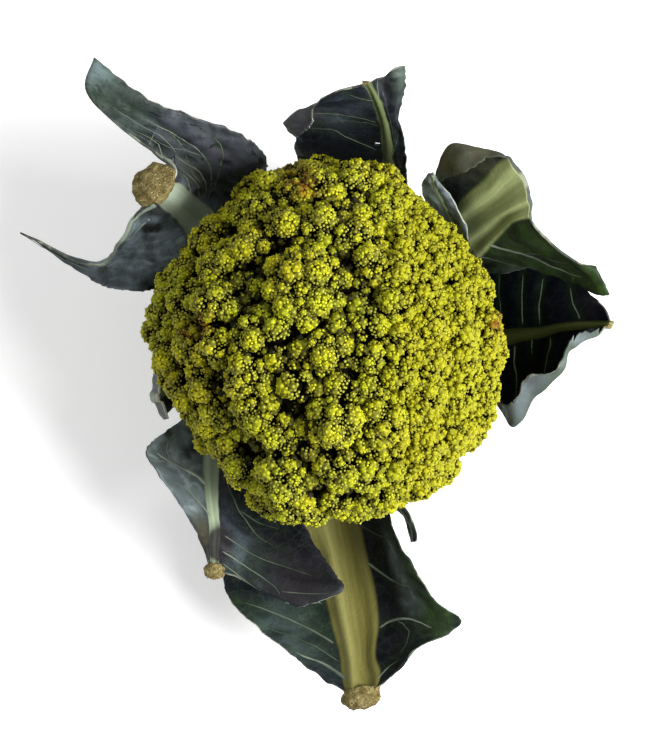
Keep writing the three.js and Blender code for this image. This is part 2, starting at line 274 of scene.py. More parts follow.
def bud_material():
    """Greens first, then a painted highlight on the tips, painted shade in the creases, bruises, then the
    painted shade of feet and clefts.
    """
    material = new_material("curd_bud", 0.55, 0.10)
    g, shader = graph_of(material)
    place, tip, fine = g.place(), g.attribute("tip"), g.attribute("fine")
    flank = g.ramp(g.attribute("flank"), 0.25, 0.80)
    colour = g.mix(g.attribute("tone"), *BUD_GREENS)
    colour = g.mix(g.ramp(g.noise(place, 28, 2), 0.35, 0.7), colour, WARM_GREEN)
    # Greyer and darker down the flank: partly painted shade.
    colour = g.mix(g.times(flank, 0.8), colour, FLANK_GREY_AND_SHADE)
    colour = g.mix(g.times(fine, 0.68), colour, CLOSE_GREEN)
    # Painted highlight on the bud tips, stronger down the flanks.
    tip_highlight = g.plus(g.times(flank, 0.35), 0.28)
    colour = g.mix(g.times(g.ramp(tip, 0.76, 1.0), tip_highlight), colour, TIP_HIGHLIGHT)
    # Painted shade in the creases, deeper down the flanks and shallower where the grain is close.
    depth = g.rest(g.times(fine, 0.58))
    crease_shade = g.times(g.plus(g.times(flank, 0.30), 0.54), depth)
    colour = g.mix(g.times(g.ramp(tip, 0.70, 0.20), crease_shade), colour, CREASE_SHADE)
    bruised = g.times(g.attribute("blemish"), g.ramp(g.noise(place, 260, 3), 0.35, 0.6))
    colour = g.mix(bruised, colour, BRUISE)
    for mark, start, deepest, most, shade in SHADES:
        share = g.times(g.ramp(g.attribute(mark), start, deepest, 0.0, most), depth)
        colour = g.mix(share, colour, shade)
    g.feed(shader, "Base Color", colour)
    grains = g.node("ShaderNodeTexVoronoi", {"feature": "F1"}, Vector=place, Scale=1000.0)
    g.feed(shader, "Normal", g.bump(g.rest(grains.outputs["Distance"]), 0.6, 0.0005))
    return material


def cleft_material():
    """Painted shade: near black deep in a cleft, and green where a twig's end shows between its buds."""
    material = new_material("curd_cleft", 0.95, 0.03)
    g, shader = graph_of(material)
    speck = g.ramp(g.noise(g.place(), 900, 3), 0.4, 0.7)
    # Paler on the close-grained east side: painted light.
    green = g.mix(g.attribute("fine"), g.mix(speck, *TWIG_GREENS), EAST_LIT_TWIG)
    outer = g.ramp(g.attribute("tip"), 0.15, 0.95)
    g.feed(shader, "Base Color", g.mix(outer, g.mix(speck, *CLEFT_SHADES), green))
    return material


STEM_GREENS = (0.22, 0.26, 0.075), (0.42, 0.47, 0.20)
STEM_PALE = (0.50, 0.53, 0.30)
CORK = (0.24, 0.17, 0.06)
OLD_SCAR = (0.16, 0.105, 0.035)
UNDER_SHADE = (0.055, 0.062, 0.018)


def stem_material():
    """Pale green flesh with long fibres and corky flecks, browner on old scars and cuts."""
    material = new_material("stem_flesh", 0.55, 0.3)
    g, shader = graph_of(material)
    place = g.place()
    fibres = g.noise(g.drawn_out(place, (1.0, 1.0, 0.12)), 420, 4)
    colour = g.mix(g.ramp(fibres, 0.32, 0.68), *STEM_GREENS)
    colour = g.mix(g.ramp(g.noise(place, 40, 3), 0.45, 0.75, 0.0, 0.55), colour, STEM_PALE)
    fleck = g.ramp(g.noise(place, 700, 2), 0.66, 0.72)
    colour = g.mix(g.times(fleck, 0.55), colour, CORK)
    old = g.times(g.attribute("scar"), g.ramp(g.noise(place, 320, 4), 0.30, 0.62))
    colour = g.mix(old, colour, OLD_SCAR)
    g.feed(shader, "Base Color", g.mix(g.attribute("shade"), colour, UNDER_SHADE))
    height = g.plus(fibres, g.times(g.noise(place, 900, 2), 0.4))
    g.feed(shader, "Normal", g.bump(height, 0.5, 0.0005))
    return material


BUD = bud_material()
CLEFT = cleft_material()
FLESH = stem_material()
print("finishes:", BUD.name, CLEFT.name, FLESH.name)

# %% [markdown]
# ## Where the florets stand
# The head's smooth form is a dome above its widest level and a dish below it. Florets are rounded
# mounds that stand side by side on it. The large ones on top are placed one by one, rings of
# smaller ones go round the side, and small sunken ones fill whatever is left between them.

# %% The smooth head, as in the solid
HEAD_CENTRE = np.array([0.0, 0.0, 76.0])
# How far the head spreads, at even steps round it from the east.
SPREAD = [77, 78, 77, 75, 76, 80, 84, 80, 77, 77, 78, 80, 80, 75, 72, 72, 77, 85, 82, 82, 83, 82,
          83, 80]
DOME_HEIGHT, DISH_DEPTH = 75, 36
DOME_POWER, DISH_POWER = 2.15, 2.0
# A floret's place east and north of the axis, and its radius.
FLORETS = [
    (-11, 25, 23), (0, -7, 14), (-36, 1, 12), (-36, -17, 13), (-32, -34, 13), (-22, -45, 14),
    (4, -39, 14), (8, -24, 9), (21, 6, 9), (20, -9, 9), (23, -23, 9), (27, -39, 12),
    (-33, 58, 13), (-50, 35, 14), (-67, 17, 13), (-20, 53, 10), (-3, 53, 11), (-2, 73, 13),
    (12, 72, 11), (28, 61, 12), (-20, -66, 15), (6, -60, 11), (20, -64, 12), (-39, -60, 11),
    (-23, 1, 8), (-13, -22, 9), (63, -40, 15), (47, -51, 13), (34, -63, 12), (38, 44, 11),
    (52, 36, 11), (61, 20, 11), (45, 21, 11), (33, 30, 10), (32, 16, 10), (63, 5, 12),
    (47, 6, 11), (35, -3, 10), (64, -12, 12), (48, -11, 11), (60, -27, 11), (47, -26, 11),
    (35, -17, 10), (-64, -4, 13), (-59, -21, 12), (-51, -35, 12), (-51, 16, 12), (-51, -3, 11),
    (-14, 68, 11), (12, 48, 11), (-35, 42, 11), (21, 34, 10),
]
OUTERMOST = 0.98
# A ring's height, its number of florets, their radius, and the first one's angle in degrees.
SIDE_RINGS = [(102, 24, 13, 4), (84, 24, 12, 11), (68, 20, 11, 2)]
RING_LIFT = 1.05


def spread_at(angle):
    """How far the head spreads at an angle in radians, eased from one step to the next."""
    turns = np.mod(angle / (2 * math.pi), 1.0) * len(SPREAD)
    k = np.floor(turns).astype(int) % len(SPREAD)
    blend = (1 - np.cos(math.pi * (turns - np.floor(turns)))) / 2
    table = np.array(SPREAD, float)
    return table[k] * (1 - blend) + table[(k + 1) % len(SPREAD)] * blend


def smooth_radius(direction):
    """The smooth head's distance from its centre, for an array of unit directions."""
    level = np.hypot(direction[:, 0], direction[:, 1])
    above = direction[:, 2] > 0
    height = np.where(above, DOME_HEIGHT, DISH_DEPTH)
    power = np.where(above, DOME_POWER, DISH_POWER)
    spread = spread_at(np.arctan2(direction[:, 1], direction[:, 0]))
    total = (level / spread) ** power + (np.abs(direction[:, 2]) / height) ** power
    return total ** (-1 / power)


def unit(v):
    return v / np.linalg.norm(v, axis=-1, keepdims=True)


def floret_mounds():
    """Directions and radii of the florets that are listed one by one and set in rings."""
    directions, radii = [], []
    for x, y, radius in FLORETS:
        share = min(OUTERMOST, math.hypot(x, y) / float(spread_at(math.atan2(y, x))))
        rise = DOME_HEIGHT * (1 - share**DOME_POWER) ** (1 / DOME_POWER)
        directions.append((x, y, rise))
        radii.append(radius)
    for height, count, radius, start in SIDE_RINGS:
        for k in range(count):
            angle = math.radians(start + 360 * k / count)
            reach = float(spread_at(angle))
            rise = (height - HEAD_CENTRE[2]) * RING_LIFT
            directions.append((reach * math.cos(angle), reach * math.sin(angle), rise))
            radii.append(radius)
    return unit(np.array(directions, float)), np.array(radii, float)


def golden_directions(count, limit=math.pi):
    """Evenly spread unit directions about +Z, out to a limiting angle from it."""
    k = np.arange(count)
    z = 1 - (k + 0.5) / count * (1 - math.cos(limit))
    flat = np.sqrt(1 - z * z)
    return np.stack([flat * np.cos(k * GOLDEN_ANGLE), flat * np.sin(k * GOLDEN_ANGLE), z], 1)


# %% Mounds, with fillers in the gaps
LOWEST_BUD = 54.0
LOWEST_FILLER = LOWEST_BUD + 4
MEAN_REACH = 78
SURFACE_LIFT = 1.5
# How far fine florets sink at least and at most, and how much more the coarse ones vary.
FINE_SINK, COARSE_SINK = (-1.0, 0.5), (-1.5, 2.5)
COARSE_SHRINK = 0.09
SMALL_FLORET, SMALL_SINK = 9.5, 1.0
TOP_RISE = 4.0
RING_SINK = (-3.0, 1.5)
FILLER_RADIUS, FILLER_SINK = 7.0, 4.8
FILLER_TRIES = 1500
# How deep a gap may be before a filler goes into it: among coarse florets, and among fine ones.
DEEPEST_GAP = (4.1, 3.4)
FINE_FROM, FINE_BLEND = 14, 22
FINE_LOWEST = -25
rng = np.random.default_rng(7)
ring_rng = np.random.default_rng(3)


def fineness(points):
    """0 where the florets are large and apart, 1 on the close, fine-grained east side, and less
    towards the rim."""
    eastward = np.clip((points[:, 0] - FINE_FROM) / FINE_BLEND, 0, 1)
    return eastward * np.clip((points[:, 2] - FINE_LOWEST) / 40, 0.35, 1)


def all_mounds():
    """Centres and radii of all the florets. Some sink into the smooth head, others stand out."""
    directions, radii = floret_mounds()
    coarse = 1 - fineness(directions * MEAN_REACH)
    least, most = (fine + extra * coarse for fine, extra in zip(FINE_SINK, COARSE_SINK))
    sink = rng.uniform(least, most) - SURFACE_LIFT
    sink[len(FLORETS):] += ring_rng.uniform(*RING_SINK, len(sink) - len(FLORETS))
    small = radii < SMALL_FLORET
    sink[small] = np.maximum(sink[small], SMALL_SINK)
    sink[0] = -TOP_RISE
    radii = radii * (1 - COARSE_SHRINK * coarse)
    centres = directions * (smooth_radius(directions) - radii - sink)[:, None]
    for direction in golden_directions(FILLER_TRIES):
        reach = float(smooth_radius(direction[None])[0])
        if direction[2] * reach + HEAD_CENTRE[2] < LOWEST_FILLER:
            continue
        dip = np.linalg.norm(centres - direction * reach, axis=1) - radii
        fine = float(fineness(direction[None] * reach)[0])
        if np.all(dip > DEEPEST_GAP[0] + (DEEPEST_GAP[1] - DEEPEST_GAP[0]) * fine):
            sunk = FILLER_SINK * (1.15 - 0.5 * fine)
            centres = np.vstack([centres, direction * (reach - sunk - FILLER_RADIUS)])
            radii = np.append(radii, FILLER_RADIUS)
    return centres, radii


MOUND_CENTRES, MOUND_RADII = all_mounds()
print("florets:", len(FLORETS), "by hand,", len(MOUND_RADII), "in all")

# %% [markdown]
# ## Clusters and buds
# On each floret the twigs end in clusters, and on each cluster sit the buds. Clusters of six sizes
# are packed side by side, the largest first, so that small ones fill what is left. On a cluster
# some buds have grown together into knobs, and single small buds fill the room between the knobs.
# They are laid out the way the plant does it, on a spiral that turns by the golden angle, and
# whatever would lie inside a neighbour is left out. The shapes are few, small and closed. A
# geometry node tree sets them on points and makes them real, so each keeps its own size, lean and
# tone.


# %% Points for the clusters
PATCH_AREA = 2.2
MOUND_LIMIT = math.radians(105)
MOUND_OVERLAP = 0.5
# Radius of a cluster, and how many places are tried for that size.
CLUSTER_PASSES = [(5.6, 2600), (4.9, 3000), (4.2, 4000), (3.5, 6000), (2.8, 12000), (2.1, 26000)]
SIZE_RANGE = (0.93, 1.07)
FINER_EAST, FLATTER_EAST = 0.26, 0.8
TOUCHING = 0.87
STAND_PROUD, UNEVEN = 0.40, 0.4
LEVEL_SIZE = 3.2
MOST_CLUSTERS = 4000


def turned(directions, axis, spin):
    """Turns directions about +Z to be about an axis."""
    turn = Vector((0, 0, 1)).rotation_difference(Vector(axis)).to_matrix()
    turn = turn @ Matrix.Rotation(spin, 3, "Z")
    return directions @ np.array(turn).T


def cap_count(radius, limit, patch):
    """How many patches of an area cover a ball from its top to a limiting angle."""
    return int(2 * math.pi * radius**2 * (1 - math.cos(limit)) / patch)


def mound_surface():
    """Evenly spread places on the mounds that lie in no other mound, and their normals."""
    places, normals = [], []
    for m, (centre, radius) in enumerate(zip(MOUND_CENTRES, MOUND_RADII)):
        spokes = golden_directions(cap_count(radius, MOUND_LIMIT, PATCH_AREA), MOUND_LIMIT)
        spokes = turned(spokes, unit(centre), rng.uniform(*ANY_SPIN))
        points = centre + spokes * radius
        others = np.arange(len(MOUND_RADII)) != m
        apart = np.linalg.norm(points[:, None] - MOUND_CENTRES[others][None], axis=2)
        clear = np.all(apart > MOUND_RADII[others][None] - MOUND_OVERLAP, axis=1)
        clear &= points[:, 2] + HEAD_CENTRE[2] > LOWEST_BUD
        places.append(points[clear])
        normals.append(spokes[clear])
    return np.vstack(places), np.vstack(normals)


def packed_clusters():
    """Clusters set side by side, the largest first and smaller ones in what is left."""
    places, normals = mound_surface()
    fine = fineness(places)
    centres, outward = np.zeros((MOST_CLUSTERS, 3)), np.zeros((MOST_CLUSTERS, 3))
    radii = np.zeros(MOST_CLUSTERS)
    n = 0
    for size, tries in CLUSTER_PASSES:
        for k in rng.permutation(len(places))[:tries]:
            radius = size * (1 - FINER_EAST * fine[k]) * rng.uniform(*SIZE_RANGE)
            rise = STAND_PROUD * (1 - FLATTER_EAST * fine[k]) * (size - LEVEL_SIZE)
            rise += rng.normal(0, UNEVEN)
            centre = places[k] + normals[k] * (rise - radius)
            gap = np.linalg.norm(centres[:n] - centre, axis=1) - TOUCHING * (radii[:n] + radius)
            if n == 0 or gap.min() > 0:
                centres[n], outward[n], radii[n] = centre, normals[k], radius
                n += 1
    return centres[:n], outward[:n], radii[:n]


CLUSTER_CENTRES, CLUSTER_NORMALS, CLUSTER_SIZES = packed_clusters()
CLUSTER_TREE = KDTree(len(CLUSTER_CENTRES))
for i, centre in enumerate(CLUSTER_CENTRES):
    CLUSTER_TREE.insert(centre, i)
CLUSTER_TREE.balance()
print("clusters:", len(CLUSTER_CENTRES))


# %% The shapes of buds and knobs
BUD_BASE = 0.92
KNOB_CORNER, KNOB_CREASE = (1.02, 1.20), (0.80, 0.90)


def write_mark(mesh, key, values, kind="FLOAT"):
    """Gives each point of a mesh a number, or a direction, under a name."""
    mark = mesh.attributes.new(key, kind, "POINT")
    mark.data.foreach_set("vector" if kind == "FLOAT_VECTOR" else "value", values)


def mesh_with_marks(name, shape, tips):
    """Turns a shape into a mesh on which each point keeps how near a tip it is and its height."""
    smooth_faces(shape.faces)
    mesh = bpy.data.meshes.new(name)
    shape.to_mesh(mesh)
    shape.free()
    write_mark(mesh, "tip", tips)
    write_mark(mesh, "rise", [v.co.z for v in mesh.vertices])
    return mesh


def bud_shape():
    """A closed bud of ten faces: a rounded cap over a hidden point."""
    shape = bmesh.new()
    bmesh.ops.create_cone(shape, segments=5, radius1=BUD_BASE, radius2=0.0, depth=1.0, cap_ends=True)
    bmesh.ops.translate(shape, verts=shape.verts, vec=(0, 0, 0.5))
    base = [face for face in shape.faces if len(face.verts) == 5]
    bmesh.ops.poke(shape, faces=base, offset=0.0)
    for vert in shape.verts:
        if vert.co.z < 0.01:
            vert.co.z = 0.30 if vert.co.length > 0.5 else -0.6
    return mesh_with_marks("bud", shape, [v.co.z for v in shape.verts])


def knob_shape(seed):
    """A knob: a ball whose twelve corners have grown into buds that melt into one another. What
    would lie inside the cluster is cut away and closed."""
    dice = random.Random(seed)
    shape = bmesh.new()
    bmesh.ops.create_icosphere(shape, subdivisions=2, radius=1.0)
    nearness = shape.verts.layers.float.new("nearness")
    for vert in shape.verts:
        vert[nearness] = 1.0 if len(vert.link_edges) == 5 else 0.12
    inside = [vert for vert in shape.verts if vert.co.z < -0.1]
    bmesh.ops.delete(shape, geom=inside, context="VERTS")
    rim = [edge for edge in shape.edges if edge.is_boundary]
    bmesh.ops.edgeloop_fill(shape, edges=rim)
    for vert in shape.verts:
        vert.co *= dice.uniform(*(KNOB_CORNER if vert[nearness] == 1 else KNOB_CREASE))
        if vert.co.z < 0.2:
            vert.co.z -= 0.25
    bmesh.ops.rotate(shape, verts=shape.verts, matrix=Matrix.Rotation(dice.uniform(0, 0.4), 3, "X"))
    return mesh_with_marks("knob", shape, [v[nearness] for v in shape.verts])


def ball_shape(name, subdivisions):
    shape = bmesh.new()
    bmesh.ops.create_icosphere(shape, subdivisions=subdivisions, radius=1.0)
    return mesh_with_marks(name, shape, [v.co.z for v in shape.verts])


# %% The instancing tree
def instancing_tree(shapes):
    """Sets one of several shapes on every point, aimed, spun and scaled by the point's marks."""
    tree = bpy.data.node_groups.new("set_on_points", "GeometryNodeTree")
    for way in ("INPUT", "OUTPUT"):
        tree.interface.new_socket("Geometry", in_out=way, socket_type="NodeSocketGeometry")
    g = Graph(tree)

    def mark(kind, name):
        made = g.node("GeometryNodeInputNamedAttribute", {"data_type": kind}, Name=name)
        return made.outputs["Attribute"]

    aim = g.node("FunctionNodeAlignRotationToVector", {"axis": "Z"},
                 Vector=mark("FLOAT_VECTOR", "aim"))
    twist = g.node("FunctionNodeAxisAngleToRotation", Angle=mark("FLOAT", "spin"))
    spun = g.node("FunctionNodeRotateRotation", {"rotation_space": "LOCAL"},
                  Rotation=aim.outputs["Rotation"], Rotate_By=twist.outputs["Rotation"])
    kinds = g.node("GeometryNodeCollectionInfo", Collection=shapes, Separate_Children=True)
    stamp = g.node("GeometryNodeInstanceOnPoints", Points=g.node("NodeGroupInput").outputs[0],
                   Instance=kinds.outputs["Instances"], Pick_Instance=True,
                   Instance_Index=mark("INT", "kind"), Rotation=spun.outputs["Rotation"],
                   Scale=mark("FLOAT", "size"))
    real = g.node("GeometryNodeRealizeInstances", Geometry=stamp.outputs["Instances"])
    g.feed(g.node("NodeGroupOutput"), "0", real.outputs["Geometry"])
    return tree


def set_on_points(name, shapes, material, places, aims, sizes, marks, kinds=None):
    """A piece made of small shapes set on many points. Marks are numbers that each copy keeps."""
    library = bpy.data.collections.new(name + "_shapes")
    for i, shape in enumerate(shapes):
        library.objects.link(bpy.data.objects.new(f"{name}_shape_{i}", shape))
    cloud = bpy.data.meshes.new(name + "_points")
    cloud.vertices.add(len(places))
    cloud.vertices.foreach_set("co", (places * MM).astype(np.float32).ravel())
    write_mark(cloud, "aim", aims.astype(np.float32).ravel(), "FLOAT_VECTOR")
    write_mark(cloud, "kind", np.zeros(len(places), int) if kinds is None else kinds, "INT")
    spin = np.arange(len(places)) * GOLDEN_ANGLE % (2 * math.pi)
    for key, values in {"size": sizes * MM, "spin": spin, **marks}.items():
        write_mark(cloud, key, np.asarray(values, np.float32))
    carrier = add_object(name + "_carrier", cloud)
    tree = instancing_tree(library)
    carrier.modifiers.new("set", "NODES").node_group = tree
    mesh = mesh_shown_by(carrier)
    mesh.name = name
    mesh.materials.clear()
    piece = add_object(name, mesh, [material])
    print("set", len(places), "copies for", name)
    for spare in [carrier, *library.objects]:
        bpy.data.objects.remove(spare)
    bpy.data.collections.remove(library)
    bpy.data.node_groups.remove(tree)
    return piece


def keep_piece(piece, node):
    """Hangs a piece on the root body, hides the node of the solid that it stands in for, and prints its
    triangles.
    """
    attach(piece, "root")
    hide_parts(node)
    print(piece.name, "triangles:", sum(len(p.vertices) - 2 for p in piece.data.polygons))


# %% The flesh under the buds
CORE_SHARE = 0.97
ROUNDER_FROM = 2.9
FLESH_DEPTH = 9.0
large = CLUSTER_SIZES > ROUNDER_FROM
CORES = []
for name, chosen, rounds in (("curd_twigs", large, 2), ("curd_twiglets", ~large, 1)):
    centres = CLUSTER_CENTRES[chosen]
    cores = set_on_points(name, [ball_shape("twig_end", rounds)], CLEFT, centres + HEAD_CENTRE,
                          CLUSTER_NORMALS[chosen], CLUSTER_SIZES[chosen] * CORE_SHARE,
                          {"fine": fineness(centres)})
    keep_piece(cores, "curd")
    CORES.append(cores)
# The heart is painted near black all over, as shade, since it shows only deep in the clefts.
heart = bmesh.new()
bmesh.ops.create_icosphere(heart, subdivisions=5, radius=1.0)
for vert in heart.verts:
    direction = np.array(vert.co.normalized())
    reach = float(smooth_radius(direction[None])[0]) - FLESH_DEPTH
    vert.co = Vector((direction * reach + HEAD_CENTRE) * MM)
keep_piece(object_from("curd_heart", heart, [CLEFT]), "curd")


# %% [markdown]
# ## The stem and the branches under the head
# Under the buds the stem forks into stout pale branches, and those fork again just below the
# rim. They are drawn as tapering tubes along bent lines, from inside the stem to inside the
# curd, so each joint is a thick crotch. The stem is turned from a profile that widens a little
# upwards and closes inside the curd. It is then roughened with fibres, lens-shaped leaf scars and
# the rim of the cut it stands on.


# %% Branches
def strands_mesh(lines, resolution=1):
    """Tapered round strands as one mesh. Each line is its points and its radii in millimetres."""
    curve = bpy.data.curves.new("strands", "CURVE")
    curve.dimensions = "3D"
    curve.bevel_depth = MM
    curve.bevel_resolution = resolution
    curve.use_fill_caps = True
    for points, radii in lines:
        spline = curve.splines.new("POLY")
        spline.points.add(len(points) - 1)
        for bead, point, radius in zip(spline.points, points, radii):
            bead.co = (*(point * MM), 1)
            bead.radius = radius
    carrier = add_object("strands", curve)
    mesh = mesh_shown_by(carrier)
    bpy.data.objects.remove(carrier)
    bpy.data.curves.remove(curve)
    return mesh


def bent_line(start, bend, end, count):
    """Points along a smooth bow from start to end that is drawn towards bend."""
    t = np.linspace(0, 1, count)[:, None]
    return (1 - t) ** 2 * start + 2 * t * (1 - t) * bend + t**2 * end


def level(angle):
    """The level direction at an angle."""
    return np.array([math.cos(angle), math.sin(angle), 0.0])


def height_of(z):
    return np.array([0, 0, z])


STEM_REACH = 11.0
STEM_NECK = 41.0
STEM_RADIUS = 21.0
BRANCHES, BRANCH_POINTS = 15, 12
BRANCH_RADII = (8.0, 4.6)
# How far out a branch ends, as a share of the head's spread: a high one, and a low one.
BRANCH_ENDS = (0.52, 0.66)
HIGH_END, LOW_END = 66.0, 60.0
TWIGS_EACH, TWIG_POINTS = 3, 8
TWIG_RADII = (4.4, 2.8)
TWIG_END, TWIG_HEIGHT, TWIG_FAN = 0.88, 70.0, 0.17
FIRST_FORK = 7
TWIG_SAG = 3.5
# The lumps on a branch: their height and their size.
BRANCH_LUMPS = [(0.9, 7), (0.4, 2.5)]
# How far from the axis a branch starts to darken, over what distance, and how dark it gets.
SHADE_FROM, SHADE_BLEND, SHADE_MOST = 52, 22, 0.85


def branch_lines():
    """Stout branches from the stem, and the twigs that leave each one for the rim."""
    lines = []
    for k in range(BRANCHES):
        angle = 2 * math.pi * (k + rng.uniform(-0.2, 0.2)) / BRANCHES
        is_high = k % 3 == 1
        out = level(angle)
        side = np.array([-out[1], out[0], 0.0])
        reach = float(spread_at(angle)) * BRANCH_ENDS[0 if is_high else 1]
        start = out * STEM_REACH + height_of(STEM_NECK - 4)
        end = out * reach + height_of(HIGH_END if is_high else LOW_END + rng.uniform(-1.5, 1.5))
        bend = out * reach * 0.55 + height_of(STEM_NECK + 3) + side * rng.uniform(-3, 3)
        main = bent_line(start, bend, end, BRANCH_POINTS)
        lines.append((main, np.linspace(*BRANCH_RADII, BRANCH_POINTS) * rng.uniform(0.9, 1.1)))
        for j in range(TWIGS_EACH):
            lean = (j - 1) * TWIG_FAN + rng.uniform(-0.04, 0.04)
            tip = level(angle + lean) * float(spread_at(angle + lean)) * TWIG_END
            tip = tip + height_of(TWIG_HEIGHT + rng.uniform(-3, 4))
            fork = main[FIRST_FORK + j % 2]
            knee = fork + (tip - fork) * 0.5 + height_of(-TWIG_SAG)
            lines.append((bent_line(fork, knee, tip, TWIG_POINTS),
                          np.linspace(*TWIG_RADII, TWIG_POINTS)))
    return lines


branches = strands_mesh(branch_lines(), 3)
places = np.array([vert.co for vert in branches.vertices]) / MM
for vert, place in zip(branches.vertices, places):
    swell = sum(height * noise.noise(Vector(place) / size) for height, size in BRANCH_LUMPS)
    vert.co += vert.normal * swell * MM
branches.shade_smooth()
shade = (np.hypot(places[:, 0], places[:, 1]) - SHADE_FROM) / SHADE_BLEND
write_mark(branches, "shade", np.clip(shade, 0, SHADE_MOST).astype(np.float32))
keep_piece(add_object("curd_branches", branches, [FLESH]), "curd")

# %% Stem
# Radius and height along the profile, from the cut face to the top.
STEM_PROFILE = [(0, 0), (6, 0.15), (13, 0.1), (18.2, 0), (19.5, 0.5), (20.2, 1.8), (20.3, 4), (20.0, 8),
                (20.1, 12), (20.2, 17), (20.3, 22), (20.4, 27), (20.5, 32), (20.3, 36), (19.6, 39.5),
                (17.8, 42), (14, 43.6), (7, 44.4), (0, 44.6)]
# A scar's angle in degrees, its height, and half its width.
LEAF_SCARS = [(25, 9, 9), (162, 11, 8), (285, 7, 9), (95, 16, 8), (225, 19, 9), (330, 22, 7),
              (55, 25, 7), (190, 30, 7)]
SCAR_HEIGHT = 2.6
SCAR_BOW = 0.035
SCAR_DEPTH = 0.75
STEM_TOP = 44
STEM_STEPS = 96
# The fibres' heights and how fine they are. Along the stem they are drawn out.
FIBRES = [(0.5, 9), (0.22, 26)]
FIBRE_STRETCH = 0.008
# The stem's side lies outside this radius and above this height. Its relief fades to the top.
SIDE_RADIUS, SIDE_HEIGHT, TOP_FADE = 17, 1.0, 6
# The rim of the cut, and how brown the rim and the cut face have dried.
RIM_RADIUS, RIM_HEIGHT, FACE_HEIGHT = 16.5, 2.2, 0.6
RIM_BROWN, FACE_BROWN = 0.85, 0.35


def turned_stem():
    """The profile turned about the stem's axis in one closed skin."""
    shape = bmesh.new()
    spots = [shape.verts.new((radius * MM, 0, height * MM)) for radius, height in STEM_PROFILE]
    edges = [shape.edges.new(pair) for pair in zip(spots, spots[1:])]
    bmesh.ops.spin(shape, geom=spots + edges, axis=(0, 0, 1), cent=(0, 0, 0), angle=2 * math.pi,
                   steps=STEM_STEPS, use_merge=True)
    bmesh.ops.remove_doubles(shape, verts=shape.verts, dist=1e-6)
    long_edges = [e for e in shape.edges if e.calc_length() > 3 * MM
                  and abs(e.verts[0].co.z - e.verts[1].co.z) > 2 * MM]
    bmesh.ops.subdivide_edges(shape, edges=long_edges, cuts=2, use_grid_fill=True)
    bmesh.ops.recalc_face_normals(shape, faces=shape.faces)
    return shape


def scar_at(angle, z):
    """How deep in a leaf scar a place on the stem's side lies, from 0 to 1."""
    scar = 0.0
    for at, height, width in LEAF_SCARS:
        aside = ((angle - at + 180) % 360 - 180) * math.pi / 180 * STEM_RADIUS
        bow = height + SCAR_BOW * aside * aside
        lens = 1 - (aside / width) ** 2 - ((z - bow) / SCAR_HEIGHT) ** 2
        scar = max(scar, min(1.0, max(0.0, lens) * 1.6))
    return scar


def roughen_stem(shape):
    """Fibres, scars and the rim of the cut, pressed into the turned stem."""
    scar_layer = shape.verts.layers.float.new("scar")
    shape.normal_update()
    moves = []
    for vert in shape.verts:
        x, y, z = vert.co / MM
        ring = math.hypot(x, y)
        angle = math.atan2(y, x)
        around = Vector((math.cos(angle), math.sin(angle), z * FIBRE_STRETCH))
        fibre = sum(height * noise.noise(around * grain) for height, grain in FIBRES)
        scar = scar_at(math.degrees(angle), z)
        is_side = 1.0 if ring > SIDE_RADIUS and z > SIDE_HEIGHT else 0.0
        fade = min(1.0, max(0.0, (STEM_TOP - z) / TOP_FADE))
        moves.append((vert, vert.normal * (fibre * fade - SCAR_DEPTH * scar * fade) * is_side * MM))
        rim = RIM_BROWN if z < RIM_HEIGHT and ring > RIM_RADIUS else 0.0
        vert[scar_layer] = max(scar * 0.9, rim, FACE_BROWN if z < FACE_HEIGHT else 0.0)
    for vert, move in moves:
        vert.co += move
    smooth_faces(shape.faces)


stem_shape = turned_stem()
roughen_stem(stem_shape)
keep_piece(object_from("stem_grown", stem_shape, [FLESH]), "stem")


# %% Points for the buds
WIDEST_GROOVE = 2.0
COARSE_GROOVE = 0.25
HEX_PACKING = 0.87
KNOB_LIMIT, BEAD_LIMIT = math.radians(78), math.radians(104)
KNOB_RADII, BEAD_RADII = (1.8, 2.3), (0.75, 1.08)
KNOB_PITCH, BEAD_PITCH = 1.75, 1.70
KNOB_SINK = 0.42
KNOB_ROOM = 0.90
FINE_SHRINK = 0.16
# How much knobs and small buds stray: in place, and a knob also in size and height.
KNOB_STRAY, BEAD_STRAY = 0.35, 0.2
SIZE_SPREAD, HEIGHT_SPREAD = 0.12, 0.2
BEAD_HEIGHT = (-0.1, 0.15)


def clearance(place, owner):
    """How far a place is from the nearest other cluster, negative inside it, in millimetres."""
    near = CLUSTER_TREE.find_range(place, CLUSTER_SIZES.max() + WIDEST_GROOVE)
    gaps = [distance - CLUSTER_SIZES[j] for _, j, distance in near if j != owner]
    return min(gaps + [WIDEST_GROOVE])


def scattered(normal, size, limit, pitch, stray):
    """Directions on a cluster, a little astray from the spiral, and how far down its flank."""
    spokes = golden_directions(max(1, cap_count(size, limit, HEX_PACKING * pitch**2)), limit)
    flank = np.degrees(np.arccos(spokes[:, 2])) / 100
    spokes = turned(spokes, normal, rng.uniform(*ANY_SPIN))
    return unit(spokes + rng.normal(0, stray / size, spokes.shape)), flank


